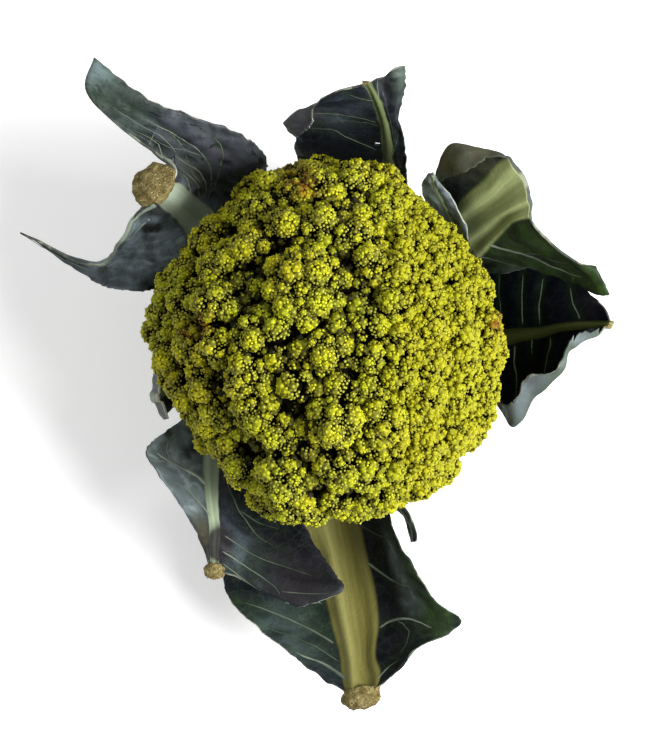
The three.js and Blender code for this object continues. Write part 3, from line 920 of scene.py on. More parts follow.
def buds_of(i):
    """One cluster's knobs, and the small buds between them, as rows: place, direction, size,
    tone, flank, fineness and clearance."""
    centre, normal, size = CLUSTER_CENTRES[i], CLUSTER_NORMALS[i], CLUSTER_SIZES[i]
    tone = rng.uniform(0, 1)
    fine = float(fineness(centre[None])[0])
    groove = COARSE_GROOVE * (1 - fine)
    knob_size = rng.uniform(*KNOB_RADII) * (1 - FINE_SHRINK * fine) * min(1.0, 0.6 + 0.10 * size)
    spokes, flank = scattered(normal, size, KNOB_LIMIT, KNOB_PITCH * knob_size, KNOB_STRAY)
    sizes = knob_size * np.exp(rng.normal(0, SIZE_SPREAD, len(spokes)))
    reach = size - KNOB_SINK * sizes + rng.normal(0, HEIGHT_SPREAD, len(spokes))
    places = centre + spokes * reach[:, None]
    gaps = np.array([clearance(place, i) for place in places])
    held = gaps > groove
    knobs = [(*places[k], *spokes[k], sizes[k], tone, flank[k], fine, gaps[k])
             for k in np.flatnonzero(held)]
    beads = []
    small, flank = scattered(normal, size, BEAD_LIMIT, BEAD_PITCH, BEAD_STRAY)
    from_knobs = np.arccos(np.clip(small @ spokes[held].T, -1, 1)) * size
    for k in np.flatnonzero((from_knobs > KNOB_ROOM * sizes[held]).all(axis=1)):
        place = centre + small[k] * (size + rng.normal(*BEAD_HEIGHT))
        gap = clearance(place, i)
        if gap > groove:
            beads.append((*place, *small[k], rng.uniform(*BEAD_RADII), tone, flank[k], fine, gap))
    return knobs, beads


# %% Shelter and bruises
SKY_RAYS, SKY_LIMIT, SKY_REACH = 14, math.radians(72), 25 * MM
VALLEY_START, VALLEY_SPAN = 2.0, 6.0
LOWEST_VALLEY = -8
VALLEY_SHADE, VALLEY_BARE = 0.74, 0.55
KNOB_DARKEST, BEAD_DARKEST = 0.88, 0.80
# A bruise's place east and north of the axis, and its radius.
BLEMISHES = [(-10, 68, 9), (-15, 76, 6), (-53, 6, 6), (74, 7, 5), (-60, 3, 4)]


def head_depth(points):
    """How far points lie under the smooth head, in millimetres."""
    reach = np.linalg.norm(points, axis=1)
    return smooth_radius(points / reach[:, None]) - reach


def sky_hidden(points):
    """The share of the sky over each point that the clusters hide, by casting rays at them."""
    corners, faces = [], []
    for piece in CORES:
        faces += [[i + len(corners) for i in face.vertices] for face in piece.data.polygons]
        corners += [vert.co[:] for vert in piece.data.vertices]
    skin = BVHTree.FromPolygons(corners, faces)
    spokes = golden_directions(SKY_RAYS, SKY_LIMIT)
    hidden = np.zeros(len(points))
    for i, (point, outward) in enumerate(zip(points, unit(points))):
        start = Vector((point + HEAD_CENTRE) * MM)
        hits = [skin.ray_cast(start, Vector(ray), SKY_REACH)[0]
                for ray in turned(spokes, outward, 0.0)]
        hidden[i] = sum(hit is not None for hit in hits) / SKY_RAYS
    return hidden


def blemish_at(points):
    """How brown and bruised the head is at each point."""
    amount = np.zeros(len(points))
    for x, y, radius in BLEMISHES:
        away = np.hypot(points[:, 0] - x, points[:, 1] - y)
        amount = np.maximum(amount, np.clip(1.3 - away / radius, 0, 1))
    return amount * (points[:, 2] > 5)


def seen_only(rows, darkest):
    """Leaves out what lies deep in a crevice, and adds each row's shelter from the sky, deepened in the
    head's valleys, which the buds' finish paints as shade.
    """
    hidden = sky_hidden(rows[:, :3] + rows[:, 3:6] * rows[:, 6:7])
    valley = np.clip((head_depth(rows[:, :3]) - VALLEY_START) / VALLEY_SPAN, 0, 1)
    valley = valley * (1 - fineness(rows[:, :3])) * (rows[:, 2] > LOWEST_VALLEY)
    kept = hidden + VALLEY_BARE * valley < darkest
    print(len(rows), "places,", kept.sum(), "seen, sky hidden on average", hidden.mean().round(2))
    return np.column_stack([rows, hidden + VALLEY_SHADE * valley])[kept]


ROWS = [buds_of(i) for i in range(len(CLUSTER_SIZES))]
KNOBS = seen_only(np.array([row for knobs, _ in ROWS for row in knobs]), KNOB_DARKEST)
BEADS = seen_only(np.array([row for _, beads in ROWS for row in beads]), BEAD_DARKEST)

# %% Knobs and buds, in four quarters of the head
QUARTERS = ["east", "north", "west", "south"]
KNOB_SHAPES = [knob_shape(seed) for seed in range(5)]
BUD_MARKS = ["tone", "flank", "fine", "apart", "shelter"]
for kind, rows, shapes in (("knobs", KNOBS, KNOB_SHAPES), ("buds", BEADS, [bud_shape()])):
    quarter = np.floor(np.mod(np.degrees(np.arctan2(rows[:, 1], rows[:, 0])) + 45, 360) / 90)
    for q, side in enumerate(QUARTERS):
        chosen = rows[quarter == q]
        marks = {**dict(zip(BUD_MARKS, chosen[:, 7:].T)), "blemish": blemish_at(chosen)}
        piece = set_on_points(f"curd_{kind}_{side}", shapes, BUD, chosen[:, :3] + HEAD_CENTRE,
                              chosen[:, 3:6], chosen[:, 6], marks,
                              rng.integers(0, len(shapes), len(chosen)))
        keep_piece(piece, "curd")

# %% [markdown]
# ## Leaves
# A cauliflower leaf is a thin waxy blade on a thick pale midrib that swells on the outer face and
# ends in a dry, porous cut where the leaf was trimmed. Each is lofted like a ship's hull: stations
# across the leaf, from the stem outwards, give the blade its cups and folds. A fine grid is laid
# over the loft twice, once for each face, and closed along the margin. Veins are tapered strands
# let into both faces, and the blade sags a little towards each of them, as a quilt does.

# %% Stations of the leaves, in millimetres
LEAVES = {
    "leaf_south": {
        "stalk": {"angle": -87, "run": 30, "heights": [13, 15], "half": 13, "cup": 3},
        "rib": {"column": 2, "half": [13, 8.5], "depth": [9, 7]},
        "stations": [
      [[-26, -85, 32], [-16, -84, 26], [2, -83, 22], [17, -82, 24], [24, -80, 34], [28, -78, 44]],
      [[-44, -98, 32], [-21, -101, 27], [6, -103, 29], [22, -100, 28], [29, -95, 40], [33, -90, 52]],
      [[-50, -110, 33], [-24, -116, 31], [9, -121, 37], [28, -117, 35], [36, -109, 48], [39, -102, 58]],
      [[-46, -122, 38], [-20, -128, 37], [12, -136, 44], [31, -131, 43], [44, -123, 53], [50, -119, 60]],
      [[-33, -134, 44], [-10, -139, 43], [14, -148, 51], [32, -142, 50], [49, -134, 58], [63, -130, 62]],
      [[-17, -146, 50], [-2, -150, 50], [15, -157, 58], [29, -151, 56], [38, -146, 59], [45, -140, 60]],
      [[0, -158, 58], [7, -161, 60], [16, -166, 65], [24, -160, 62], [29, -156, 61], [34, -151, 60]],
        ],
    },
    "leaf_south_west": {
        "stalk": {"angle": -140, "run": 26, "heights": [24, 30], "half": 11, "cup": 3},
        "rib": {"column": 2, "half": [10, 4], "depth": [8, 4.5]},
        "stations": [
      [[-66, -35, 46], [-60, -37, 41], [-51, -34, 38], [-40, -39, 34], [-31, -46, 32], [-22, -54, 30]],
      [[-77, -43, 62], [-66, -48, 53], [-54, -50, 44], [-43, -60, 37], [-31, -68, 34], [-18, -75, 32]],
      [[-83, -50, 72], [-69, -57, 60], [-54, -64, 50], [-42, -74, 43], [-27, -81, 42], [-10, -87, 44]],
      [[-77, -61, 71], [-65, -67, 63], [-53, -76, 56], [-40, -85, 50], [-22, -92, 52], [-2, -98, 54]],
      [[-69, -73, 67], [-60, -80, 64], [-51, -87, 62], [-38, -96, 58], [-18, -103, 60], [5, -108, 64]],
      [[-61, -86, 67], [-56, -90, 67], [-51, -96, 67], [-40, -103, 63], [-18, -111, 66], [8, -115, 72]],
      [[-55, -99, 71], [-53, -102, 72], [-50, -105, 73], [-41, -108, 67], [-30, -115, 66], [-11, -123, 70]],
        ],
    },
    "leaf_east": {
        "stalk": {"angle": 2, "run": 26, "heights": [18, 24], "half": 10, "cup": 3},
        "rib": {"column": 3, "half": [9, 1.8], "depth": [7, 3]},
        "stations": [
      [[75, -24, 44], [75, -19, 38], [72, -9, 36], [73, 3, 36], [72, 18, 34], [71, 37, 33]],
      [[82, -29, 58], [81, -31, 49], [82, -15, 42], [83, 3, 43], [82, 22, 40], [81, 43, 37]],
      [[86, -26, 66], [88, -39, 57], [90, -13, 48], [92, 4, 50], [91, 22, 46], [93, 44, 42]],
      [[93, -15, 68], [98, -24, 61], [100, -8, 54], [100, 5, 56], [100, 21, 51], [103, 39, 46]],
      [[105, -12, 71], [109, -14, 67], [108, -2, 61], [109, 7, 63], [109, 20, 57], [112, 33, 51]],
      [[113, 4, 76], [112, -4, 71], [117, 3, 69], [119, 8, 70], [119, 16, 66], [120, 25, 60]],
      [[124, 7, 80], [124, 3, 77], [127, 6, 77], [129, 8, 78], [128, 12, 77], [126, 17, 74]],
        ],
    },
    "leaf_north_east": {
        "stalk": {"angle": 40, "run": 26, "heights": [30, 36], "half": 11, "cup": 2},
        "rib": {"column": 4, "half": [11, 12], "depth": [7, 2]},
        "stations": [
      [
        [71, 30, 46], [69, 32, 44], [66, 34, 44], [62, 38, 44],
        [58, 45, 46], [54, 51, 50], [50, 57, 52], [46, 62, 54],
      ],
      [
        [83, 32, 50], [78, 34, 50], [75, 37, 50], [69, 42, 54],
        [66, 51, 60], [60, 61, 67], [54, 67, 70], [50, 70, 73],
      ],
      [
        [96, 33, 58], [90, 35, 58], [83, 40, 60], [75, 45, 64],
        [72, 55, 72], [64, 67, 84], [50, 75, 88], [54, 72, 92],
      ],
      [
        [113, 26, 70], [103, 33, 68], [92, 41, 70], [82, 48, 74],
        [78, 59, 83], [70, 72, 94], [55, 86, 104], [63, 73, 108],
      ],
      [
        [127, 19, 85], [115, 30, 80], [101, 39, 78], [87, 50, 84],
        [84, 62, 92], [76, 76, 101], [68, 84, 108], [71, 79, 111],
      ],
      [
        [122, 33, 88], [111, 36, 88], [99, 46, 90], [92, 54, 92],
        [90, 65, 99], [83, 77, 106], [78, 81, 108], [79, 79, 110],
      ],
        ],
    },
    "leaf_north_east_inner": {
        "stalk": {"angle": 36, "run": 24, "heights": [40, 44], "half": 7, "cup": 2},
        "rib": {"column": 1, "half": [5, 1.5], "depth": [4, 1]},
        "stations": [
      [[63, 41, 57], [58, 45, 55], [50, 50, 53]],
      [[66, 44, 70], [57, 54, 71], [46, 59, 70]],
      [[63, 54, 82], [53, 61, 84], [43, 66, 82]],
      [[56, 64, 91], [49, 68, 92], [42, 70, 90]],
      [[49, 72, 98], [47, 73, 100], [45, 74, 98]],
        ],
    },
    "leaf_north": {
        "stalk": {"angle": 74, "run": 28, "heights": [17, 26], "half": 11, "cup": 2},
        "rib": {"column": 3, "half": [9, 1.8], "depth": [7, 3.5]},
        "stations": [
      [
        [37, 71, 50], [35, 72, 49], [32, 73, 48], [28, 74, 48],
        [12, 77, 46], [-3, 79, 46], [-12, 80, 48],
      ],
      [
        [37, 81, 66], [35, 83, 67], [32, 84, 68], [28, 87, 70],
        [9, 90, 66], [-7, 90, 67], [-15, 90, 70],
      ],
      [
        [36, 90, 80], [33, 93, 82], [30, 95, 86], [26, 97, 90],
        [6, 99, 84], [-18, 97, 80], [-9, 94, 86],
      ],
      [
        [33, 100, 93], [30, 101, 96], [27, 102, 98], [23, 104, 102],
        [5, 104, 98], [-16, 100, 92], [-5, 96, 97],
      ],
      [
        [36, 110, 104], [30, 111, 106], [25, 110, 103], [20, 109, 109],
        [9, 108, 108], [1, 106, 105], [-5, 104, 104],
      ],
      [
        [35, 120, 112], [29, 118, 113], [25, 115, 108], [18, 112, 112],
        [14, 111, 112], [10, 110, 112], [7, 109, 112],
      ],
        ],
    },
    "leaf_north_west": {
        "stalk": {"angle": 137, "run": 26, "heights": [20, 27], "half": 13, "cup": 4},
        "rib": {"column": 4, "half": [12, 8], "depth": [8, 6]},
        "stations": [
      [
        [-27, 73, 50], [-35, 66, 47], [-41, 60, 44], [-46, 54, 42],
        [-52, 48, 40], [-62, 39, 42], [-71, 30, 45], [-78, 24, 48],
      ],
      [
        [-27, 84, 75], [-37, 76, 68], [-45, 70, 62], [-52, 63, 58],
        [-57, 54, 56], [-68, 44, 55], [-78, 33, 52], [-84, 23, 50],
      ],
      [
        [-36, 92, 95], [-46, 83, 87], [-54, 76, 79], [-58, 68, 72],
        [-61, 58, 70], [-73, 48, 67], [-85, 35, 61], [-92, 23, 56],
      ],
      [
        [-53, 97, 107], [-61, 89, 101], [-66, 80, 92], [-63, 71, 87],
        [-66, 61, 84], [-77, 51, 77], [-90, 37, 68], [-101, 24, 64],
      ],
      [
        [-77, 105, 118], [-83, 96, 111], [-78, 86, 101], [-66, 74, 96],
        [-70, 63, 97], [-81, 54, 86], [-97, 38, 75], [-110, 29, 76],
      ],
      [
        [-100, 122, 124], [-104, 107, 119], [-87, 90, 108], [-68, 76, 103],
        [-73, 65, 108], [-85, 56, 92], [-103, 33, 82], [-138, 49, 98],
      ],
        ],
    },
    "leaf_west": {
        "stalk": {"angle": 204, "run": 24, "heights": [37, 41], "half": 6, "cup": 2},
        "rib": {"column": 1, "half": [5, 2], "depth": [4, 1]},
        "stations": [
      [[-67, -9, 46], [-66, -18, 45], [-63, -27, 46]],
      [[-79, -13, 57], [-79, -25, 56], [-75, -36, 57]],
      [[-76, -16, 71], [-76, -26, 75], [-72, -37, 72]],
        ],
    },
    "leaf_south_east": {
        "stalk": {"angle": -64, "run": 22, "heights": [36, 40], "half": 5, "cup": 2},
        "rib": {"column": 1, "half": [4, 1], "depth": [4, 0.5]},
        "stations": [
      [[23, -71, 44], [25, -70, 49], [26, -69, 54]],
      [[33, -79, 48], [34, -78, 54], [36, -77, 60]],
      [[38, -86, 51], [39, -86, 57], [41, -84, 62]],
      [[39, -93, 56], [40, -93, 60], [41, -92, 63]],
        ],
    },
}

# %% Veins, ridges, holes and tints, at (station, column) places
# A vein is its places, its half width at the start in millimetres, and how pale it is from 0 to 1.
# A tint is a list of (station, column, radius in millimetres, strength). A ridge is (place across
# the rib from -1 to 1, width, height in millimetres). A cut is the half width, depth, thickness
# and shift of the dry end of the midrib, and wrinkles are their height and their direction.
# The shade tints are painted shade, and so is the tint that is laid last, over the midrib too.
DETAIL = {
    "leaf_south": {
        "look": "green", "cells": (60, 88), "strand": 0.8,
        "cut": (9.0, 6.0, 5.0, -4.0),
        "ridges": [(-0.35, 0.5, 2.2), (0.38, 0.36, -1.3), (0.8, 0.3, 1.1), (-0.92, 0.2, 0.5)],
        "veins": [
            ([(1.2, 2.6), (1.35, 2.85), (1.75, 3.2), (2.2, 3.7), (2.7, 4.4)], 1.1, 0.45),
            ([(3.1, 2.55), (3.0, 2.95), (3.25, 3.5), (3.8, 3.9), (4.3, 4.4)], 1.2, 0.5),
            ([(3.05, 3.1), (3.5, 3.35), (4.2, 3.35), (4.8, 3.2)], 0.5, 0.3),
            ([(5.4, 2.6), (5.05, 3.0), (4.9, 3.5)], 0.7, 0.35),
            ([(5.2, 1.7), (5.1, 1.1), (5.0, 0.6), (4.8, 0.1)], 1.5, 0.6),
            ([(3.7, 1.7), (3.35, 1.1), (3.1, 0.6), (2.9, 0.1)], 0.8, 0.25),
            ([(4.5, 1.7), (4.3, 1.1), (4.1, 0.5), (3.9, 0.1)], 0.4, 0.2),
            ([(2.3, 1.7), (2.1, 1.2), (1.9, 0.6), (1.7, 0.1)], 0.8, 0.3),
            ([(1.3, 1.7), (1.1, 1.2), (0.9, 0.6), (0.8, 0.2)], 0.7, 0.3),
            ([(0.2, 2.6), (0.3, 2.95), (0.6, 3.5), (0.9, 4.3)], 0.9, 0.3),
        ],
        "tints": {
            "shade": [(1.0, 2.75, 17, 1), (2.0, 2.8, 17, 1), (3.0, 2.75, 15, 1), (4.0, 2.75, 15, 1),
                      (5.0, 2.8, 13, 1), (2.2, 0.4, 20, 0.8), (0.3, 1.0, 30, 0.9),
                      (6.0, 2.7, 8, 0.8), (3.5, 3.3, 6, 0.8), (1.0, 3.3, 12, 0.8)],
            "green": [(2.2, 4.7, 16, 0.9), (3.2, 4.8, 18, 0.9), (4.0, 4.9, 18, 0.8),
                      (3.6, 1.0, 26, 0.7), (3.0, 0.2, 16, 0.5), (1.0, 4.8, 12, 0.5)],
            "bloom": [(3.3, 0.8, 20, 0.5), (4.6, 0.4, 16, 0.45), (5.4, 0.6, 14, 0.3)],
            # The frost along the right blade's fold is a painted highlight, where light catches the fold.
            "frost": [(1.2, 3.95, 10, 0.7), (1.9, 3.85, 11, 0.75), (2.7, 3.85, 9, 0.6)],
            "torn": [(3.9, 0, 9, 1), (4.5, 0, 9, 1), (3.2, 0, 6, 0.7)],
        },
    },
    "leaf_south_west": {
        "look": "green", "cells": (56, 72), "strand": 0.75, "taper": 2.4,
        "cut": (5.0, 4.0, 3.5, -1.0), "wrinkles": (0.5, (0.6, -0.7, 0.0)),
        "ridges": [(-0.3, 0.5, 0.8), (0.6, 0.4, 0.5)],
        "veins": [
            ([(2.35, 1.9), (2.2, 1.5), (2.1, 1.05), (1.95, 0.5), (1.8, 0.1)], 1.8, 0.9),
            ([(2.1, 0.95), (1.6, 0.6), (1.0, 0.4), (0.5, 0.5)], 0.7, 0.7),
            ([(2.05, 0.7), (2.25, 0.4), (2.4, 0.1)], 0.6, 0.6),
            ([(3.6, 1.9), (3.3, 1.4), (3.1, 0.9), (3.0, 0.3)], 0.7, 0.5),
            ([(1.2, 2.1), (1.6, 2.6), (2.4, 3.0), (3.2, 3.4), (3.5, 4.1)], 0.7, 0.25),
            ([(3.9, 2.2), (4.05, 2.9), (4.15, 3.4), (4.2, 4.0), (4.35, 4.7)], 0.5, 0.25),
            ([(4.8, 2.2), (4.85, 2.9), (5.1, 3.4), (5.6, 4.1), (6.1, 4.7)], 0.6, 0.35),
            ([(5.65, 4.15), (5.35, 4.6), (5.1, 4.9)], 0.4, 0.2),
            ([(5.4, 2.3), (5.7, 2.8), (5.95, 3.3), (6.0, 4.0)], 0.5, 0.3),
            ([(2.4, 3.0), (2.6, 3.6), (2.5, 4.3)], 0.5, 0.2),
        ],
        "tints": {
            "shade": [(0.2, 2.6, 24, 1), (1.2, 3.3, 24, 1), (2.2, 4.0, 24, 1),
                      (2.9, 4.6, 18, 0.7), (1.35, 1.15, 3.5, 1), (1.15, 1.35, 3, 1),
                      (1.6, 1.3, 2.5, 0.8), (0.8, 0.1, 4, 0.8)],
            "bloom": [(3.6, 2.9, 16, 0.5), (4.6, 2.8, 12, 0.35), (2.3, 2.6, 12, 0.7),
                      (1.2, 2.3, 12, 0.5)],
            "frost": [(1.7, 0.7, 20, 1.2), (1.0, 0.8, 18, 1.2), (2.6, 0.9, 18, 1.0),
                      (3.6, 0.8, 14, 0.9), (0.6, 1.4, 14, 0.9), (1.8, 1.6, 9, 0.8)],
            "green": [(2.6, 1.3, 10, 0.5), (1.4, 1.2, 6, 0.8), (4.2, 3.2, 14, 0.4)],
            "brown": [(5.4, 0.8, 10, 1), (4.8, 1.0, 9, 0.9), (4.2, 0.9, 6, 0.5)],
            "purple": [(4.1, 4.5, 24, 0.15), (5.3, 4.6, 22, 0.2)],
            "overall_shade": [(4.1, 2.25, 7, 1.5), (4.7, 2.1, 7, 1.6), (5.2, 2.1, 6, 1.4), (4.4, 4.3, 20, 0.5),
                     (5.4, 4.3, 20, 0.45), (3.6, 3.6, 14, 0.3)],
            "torn": [(6.0, 4.9, 9, 1), (5.6, 5.0, 7, 1), (6.0, 4.3, 8, 0.8), (1.2, 0, 4, 1)],
        },
    },
    "leaf_east": {
        "look": "dark", "cells": (60, 78), "strand": 0.6, "taper": 2.4,
        "trimmed": True, "ridges": [(0.0, 0.8, 0.9)], "wrinkles": (0.35, (0.3, 0.9, 0.2)),
        "veins": [
            ([(2.0, 3.15), (2.05, 3.6), (2.1, 4.2), (2.1, 4.7)], 0.9, 0.12),
            ([(2.9, 3.15), (2.95, 3.6), (3.0, 4.1), (3.1, 4.7)], 0.9, 0.15),
            ([(4.75, 3.15), (4.65, 3.6), (4.45, 4.1), (4.3, 4.7)], 0.9, 0.3),
            ([(1.0, 3.2), (1.0, 3.7), (1.0, 4.3), (1.1, 4.8)], 0.6, 0.05),
            ([(1.6, 2.8), (1.75, 2.3), (1.95, 1.8), (1.9, 1.2)], 0.9, 0.25),
            ([(2.5, 2.8), (2.55, 2.5), (2.6, 2.2)], 0.8, 0.25),
            ([(3.45, 2.8), (3.5, 2.2), (3.25, 1.7), (3.1, 1.2)], 0.9, 0.25),
            ([(0.4, 2.8), (0.6, 2.2), (0.8, 1.6)], 0.8, 0.15),
        ],
        "tints": {
            "shade": [(1.0, 3.8, 34, 1.2), (1.0, 2.0, 34, 1.2), (2.5, 2.2, 18, 0.95),
                      (2.5, 4.1, 30, 1.3), (3.8, 2.4, 12, 0.9), (3.8, 4.0, 16, 1)],
            "bloom": [(4.6, 4.7, 12, 0.25)],
            "green": [(3.2, 5.0, 7, 1)],
            "purple": [(5.2, 4.2, 14, 0.35)],
            "frost": [(1.4, 0.2, 8, 0.8), (2.0, 0.2, 8, 1), (2.6, 0.2, 8, 1), (3.2, 0.2, 7, 0.9),
                      (5.4, 0.3, 6, 1), (5.0, 0.2, 5, 1), (4.2, 0.1, 4, 0.5)],
            "torn": [(2.0, 0, 6, 0.5), (3.0, 0, 6, 0.5), (4.0, 0, 5, 0.5)],
        },
    },
    "leaf_north_east": {
        "look": "green", "cells": (68, 66), "strand": 1.0,
        "ridges": [(-0.80, 0.34, 2.2), (-0.12, 0.42, 2.4), (0.60, 0.40, 2.2)],
        "veins": [
            ([(1.9, 3.3), (2.2, 2.6), (2.7, 1.9), (3.1, 1.3), (3.8, 0.95), (4.4, 0.6)], 1.3, 0.45),
            ([(3.6, 1.0), (3.4, 0.6), (3.1, 0.2)], 0.6, 0.2),
            ([(2.7, 1.9), (3.4, 1.8), (4.1, 1.5), (4.6, 1.2)], 0.6, 0.25),
            ([(0.9, 3.3), (1.2, 2.4), (1.7, 1.4), (2.0, 0.5)], 0.6, 0.12),
        ],
        "tints": {
            "green": [(2.0, 2.0, 20, 1), (3.0, 1.5, 26, 1), (4.0, 1.2, 26, 1), (4.3, 2.2, 18, 1),
                      (4.4, 0.3, 16, 0.9), (3.4, 4.75, 7, 1), (4.4, 4.75, 6, 1), (2.4, 4.75, 6, 0.8)],
            "shade": [(0.5, 1.5, 18, 0.9), (1.2, 5.4, 10, 1), (2.0, 5.3, 9, 1),
                      (2.8, 5.4, 7, 0.9), (4.6, 5.6, 6, 0.8), (2.4, 2.75, 4, 0.8),
                      (3.4, 2.75, 4, 0.7), (1.6, 0.4, 9, 0.5)],
            "brown": [(2.9, 6.7, 15, 1.4), (3.4, 6.6, 16, 1.4), (3.9, 6.6, 12, 1.3),
                      (2.2, 6.7, 11, 1.2)],
            "frost": [(1.4, 0.1, 5, 0.8), (2.0, 0.1, 5, 0.6)],
            "torn": [(1.5, 0, 9, 0.8)],
        },
    },
    "leaf_north_east_inner": {
        "look": "grey", "cells": (22, 38), "strand": 0.5, "ridges": [(0.0, 0.7, 0.3)],
        "veins": [([(1.2, 1.1), (1.7, 1.5), (2.2, 1.8)], 0.4, 0.3),
                  ([(1.2, 0.9), (1.8, 0.5)], 0.4, 0.3), ([(2.2, 1.1), (2.7, 1.5)], 0.35, 0.3)],
        "tints": {"frost": [(1.0, 1.0, 30, 0.45), (2.6, 1.0, 26, 0.45)],
                  "bloom": [(1.5, 1.0, 22, 1), (3.0, 1.0, 16, 0.9)],
                  "shade": [(0.0, 1.0, 10, 0.5)], "torn": [(2.5, 0, 20, 0.5)]},
    },
    "leaf_north": {
        "look": "dark", "cells": (60, 64), "strand": 0.5, "taper": 4.0,
        "trimmed": True, "ridges": [(-0.1, 0.8, 1.2)], "wrinkles": (0.4, (0.95, 0.0, 0.1)),
        "veins": [
            ([(3.15, 3.1), (3.5, 3.5), (3.9, 3.9), (4.3, 4.2)], 0.7, 0.25),
            ([(2.0, 3.12), (2.15, 3.5), (2.3, 3.9), (2.6, 4.3), (3.0, 4.7)], 0.8, 0.25),
            ([(1.85, 3.12), (1.95, 3.5), (2.0, 3.9), (2.0, 4.4)], 0.4, 0.15),
            ([(0.9, 3.2), (1.1, 3.55), (1.35, 3.9), (1.6, 4.2), (1.8, 4.7)], 0.8, 0.25),
            ([(0.9, 2.9), (1.3, 2.2), (1.8, 1.4), (2.2, 0.8)], 1.1, 0.35),
            ([(3.3, 2.9), (3.8, 2.6), (4.4, 2.4), (5.0, 2.3)], 0.9, 0.35),
            ([(0.5, 2.9), (0.6, 1.8), (0.8, 0.8)], 0.6, 0.25),
        ],
        "holes": [(1.25, 3.27, 1.9)],
        "tints": {
            "shade": [(0.2, 4.2, 24, 1), (1.2, 4.7, 14, 0.9), (0.4, 1.6, 12, 0.8),
                      (1.4, 3.4, 8, 0.9), (2.6, 2.2, 4, 0.9), (3.4, 2.5, 4, 0.8)],
            "bloom": [(2.9, 3.8, 14, 0.6), (2.0, 4.0, 14, 0.45), (1.6, 1.0, 8, 0.5)],
            "frost": [(4.6, 0.4, 7, 0.35), (3.8, 0.5, 7, 0.35), (5.0, 0.3, 7, 0.35),
                      (2.3, 5.9, 5, 0.5)],
            "green": [(4.2, 0.2, 9, 1.0), (5.0, 0.3, 8, 0.9), (2.6, 4.2, 10, 0.3)],
            "purple": [(4.4, 1.8, 6, 1.6), (5.0, 1.9, 5, 1.6), (3.7, 1.9, 4, 1.2),
                       (2.4, 5.8, 12, 1.3), (3.1, 5.9, 10, 1.2)],
            "overall_shade": [(2.2, 5.2, 5, 0.6)],
            "torn": [(2.6, 6, 9, 0.6), (4.8, 1, 6, 0.5)],
        },
    },
    "leaf_north_west": {
        "look": "grey", "cells": (84, 76), "strand": 0.55,
        "cut": (10.5, 8.5, 3.5, 0.0), "wrinkles": (1.1, (-0.83, 0.5, 0.35)),
        "ridges": [(0.0, 0.9, 0.8)],
        "veins": [
            ([(1.5, 3.4), (1.8, 2.6), (2.3, 2.1), (3.0, 1.9), (4.0, 1.6), (4.8, 1.4)], 1.0, 0.4),
            ([(1.4, 3.3), (1.6, 2.5), (1.9, 1.9), (2.4, 1.4), (3.2, 1.1), (4.2, 0.7)], 0.9, 0.35),
            ([(1.3, 3.2), (1.5, 2.3), (1.8, 1.5), (2.2, 0.8), (2.9, 0.4)], 0.8, 0.3),
            ([(1.7, 3.4), (2.3, 2.7), (3.2, 2.4), (4.2, 2.2), (4.8, 2.3)], 0.8, 0.4),
            ([(3.0, 1.9), (3.5, 1.3), (4.1, 1.1), (4.7, 0.9)], 0.6, 0.3),
            ([(2.4, 1.4), (2.9, 1.5), (3.5, 1.6), (4.2, 1.3)], 0.5, 0.3),
            ([(1.8, 2.6), (2.4, 2.4), (3.0, 1.4), (3.6, 0.9)], 0.5, 0.3),
            ([(2.4, 3.45), (2.9, 2.9), (3.6, 2.75)], 1.1, 0.8),
            ([(0.8, 3.2), (1.0, 2.4), (1.2, 1.6), (1.5, 0.6)], 0.8, 0.1),
            ([(2.2, 4.5), (2.9, 4.8), (3.2, 5.3), (3.1, 5.9), (2.9, 6.5)], 0.6, 0.25),
            ([(4.4, 4.5), (4.8, 4.9), (4.93, 5.4), (4.95, 5.9), (4.93, 6.2)], 2.2, 1.0),
            ([(3.9, 4.9), (4.0, 5.3), (4.25, 5.5), (4.55, 5.3), (4.45, 5.0)], 1.3, 1.0),
            ([(3.4, 6.2), (3.9, 6.6), (4.5, 6.9), (4.9, 7.0)], 0.5, 0.3),
        ],
        "tints": {
            "bloom": [(2.0, 1.2, 22, 0.6), (3.0, 1.3, 20, 0.5), (4.0, 1.2, 20, 0.5),
                      (1.0, 2.5, 16, 0.8), (4.2, 6.7, 16, 0.9), (2.4, 5.8, 26, 1.2)],
            "frost": [(3.2, 5.7, 22, 1.3), (2.4, 5.4, 20, 1.2), (4.2, 5.6, 16, 1.2), (1.6, 5.6, 18, 1.1),
                      (4.9, 0.3, 12, 0.4), (0.9, 3.0, 8, 0.5), (3.3, 3.45, 7, 1.0), (2.5, 3.4, 8, 1.0),
                      (1.7, 3.4, 8, 0.8)],
            "purple": [(1.8, 1.6, 22, 0.8), (3.0, 1.9, 20, 0.8), (4.9, 6.9, 16, 0.8),
                       (2.4, 0.8, 16, 0.6)],
            "green": [(4.8, 0.4, 16, 0.8), (4.0, 0.5, 10, 0.5), (4.7, 1.7, 12, 0.3)],
            "shade": [(0.4, 1.2, 22, 1), (0.0, 5.0, 14, 1), (0.2, 6.7, 14, 1), (0.3, 3.4, 10, 0.8),
                      (3.0, 1.0, 4, 0.8), (3.5, 1.7, 3.5, 0.7), (2.6, 1.3, 3.5, 0.7),
                      (2.2, 2.0, 4, 0.7), (4.1, 1.0, 3, 0.6), (4.6, 5.55, 3.5, 1),
                      (5.0, 6.9, 16, 1), (4.9, 6.3, 8, 0.8)],
            "brown": [(2.6, 2.6, 10, 0.8), (1.9, 2.9, 7, 0.5)],
            "overall_shade": [(3.55, 5.1, 4.5, 1.6), (3.1, 5.0, 3.5, 1.2)],
            "torn": [(5.0, 3.3, 6, 0.9)],
        },
    },
    "leaf_west": {
        "look": "grey", "cells": (20, 30), "strand": 0.5, "ridges": [(0.0, 0.7, 0.5)],
        "veins": [([(0.6, 1.1), (1.1, 1.5), (1.5, 1.8)], 0.4, 0.3), ([(0.8, 0.9), (1.4, 0.5)], 0.4, 0.3)],
        "tints": {"purple": [(1.0, 1.0, 20, 1)], "frost": [(1.6, 0.5, 8, 0.4)],
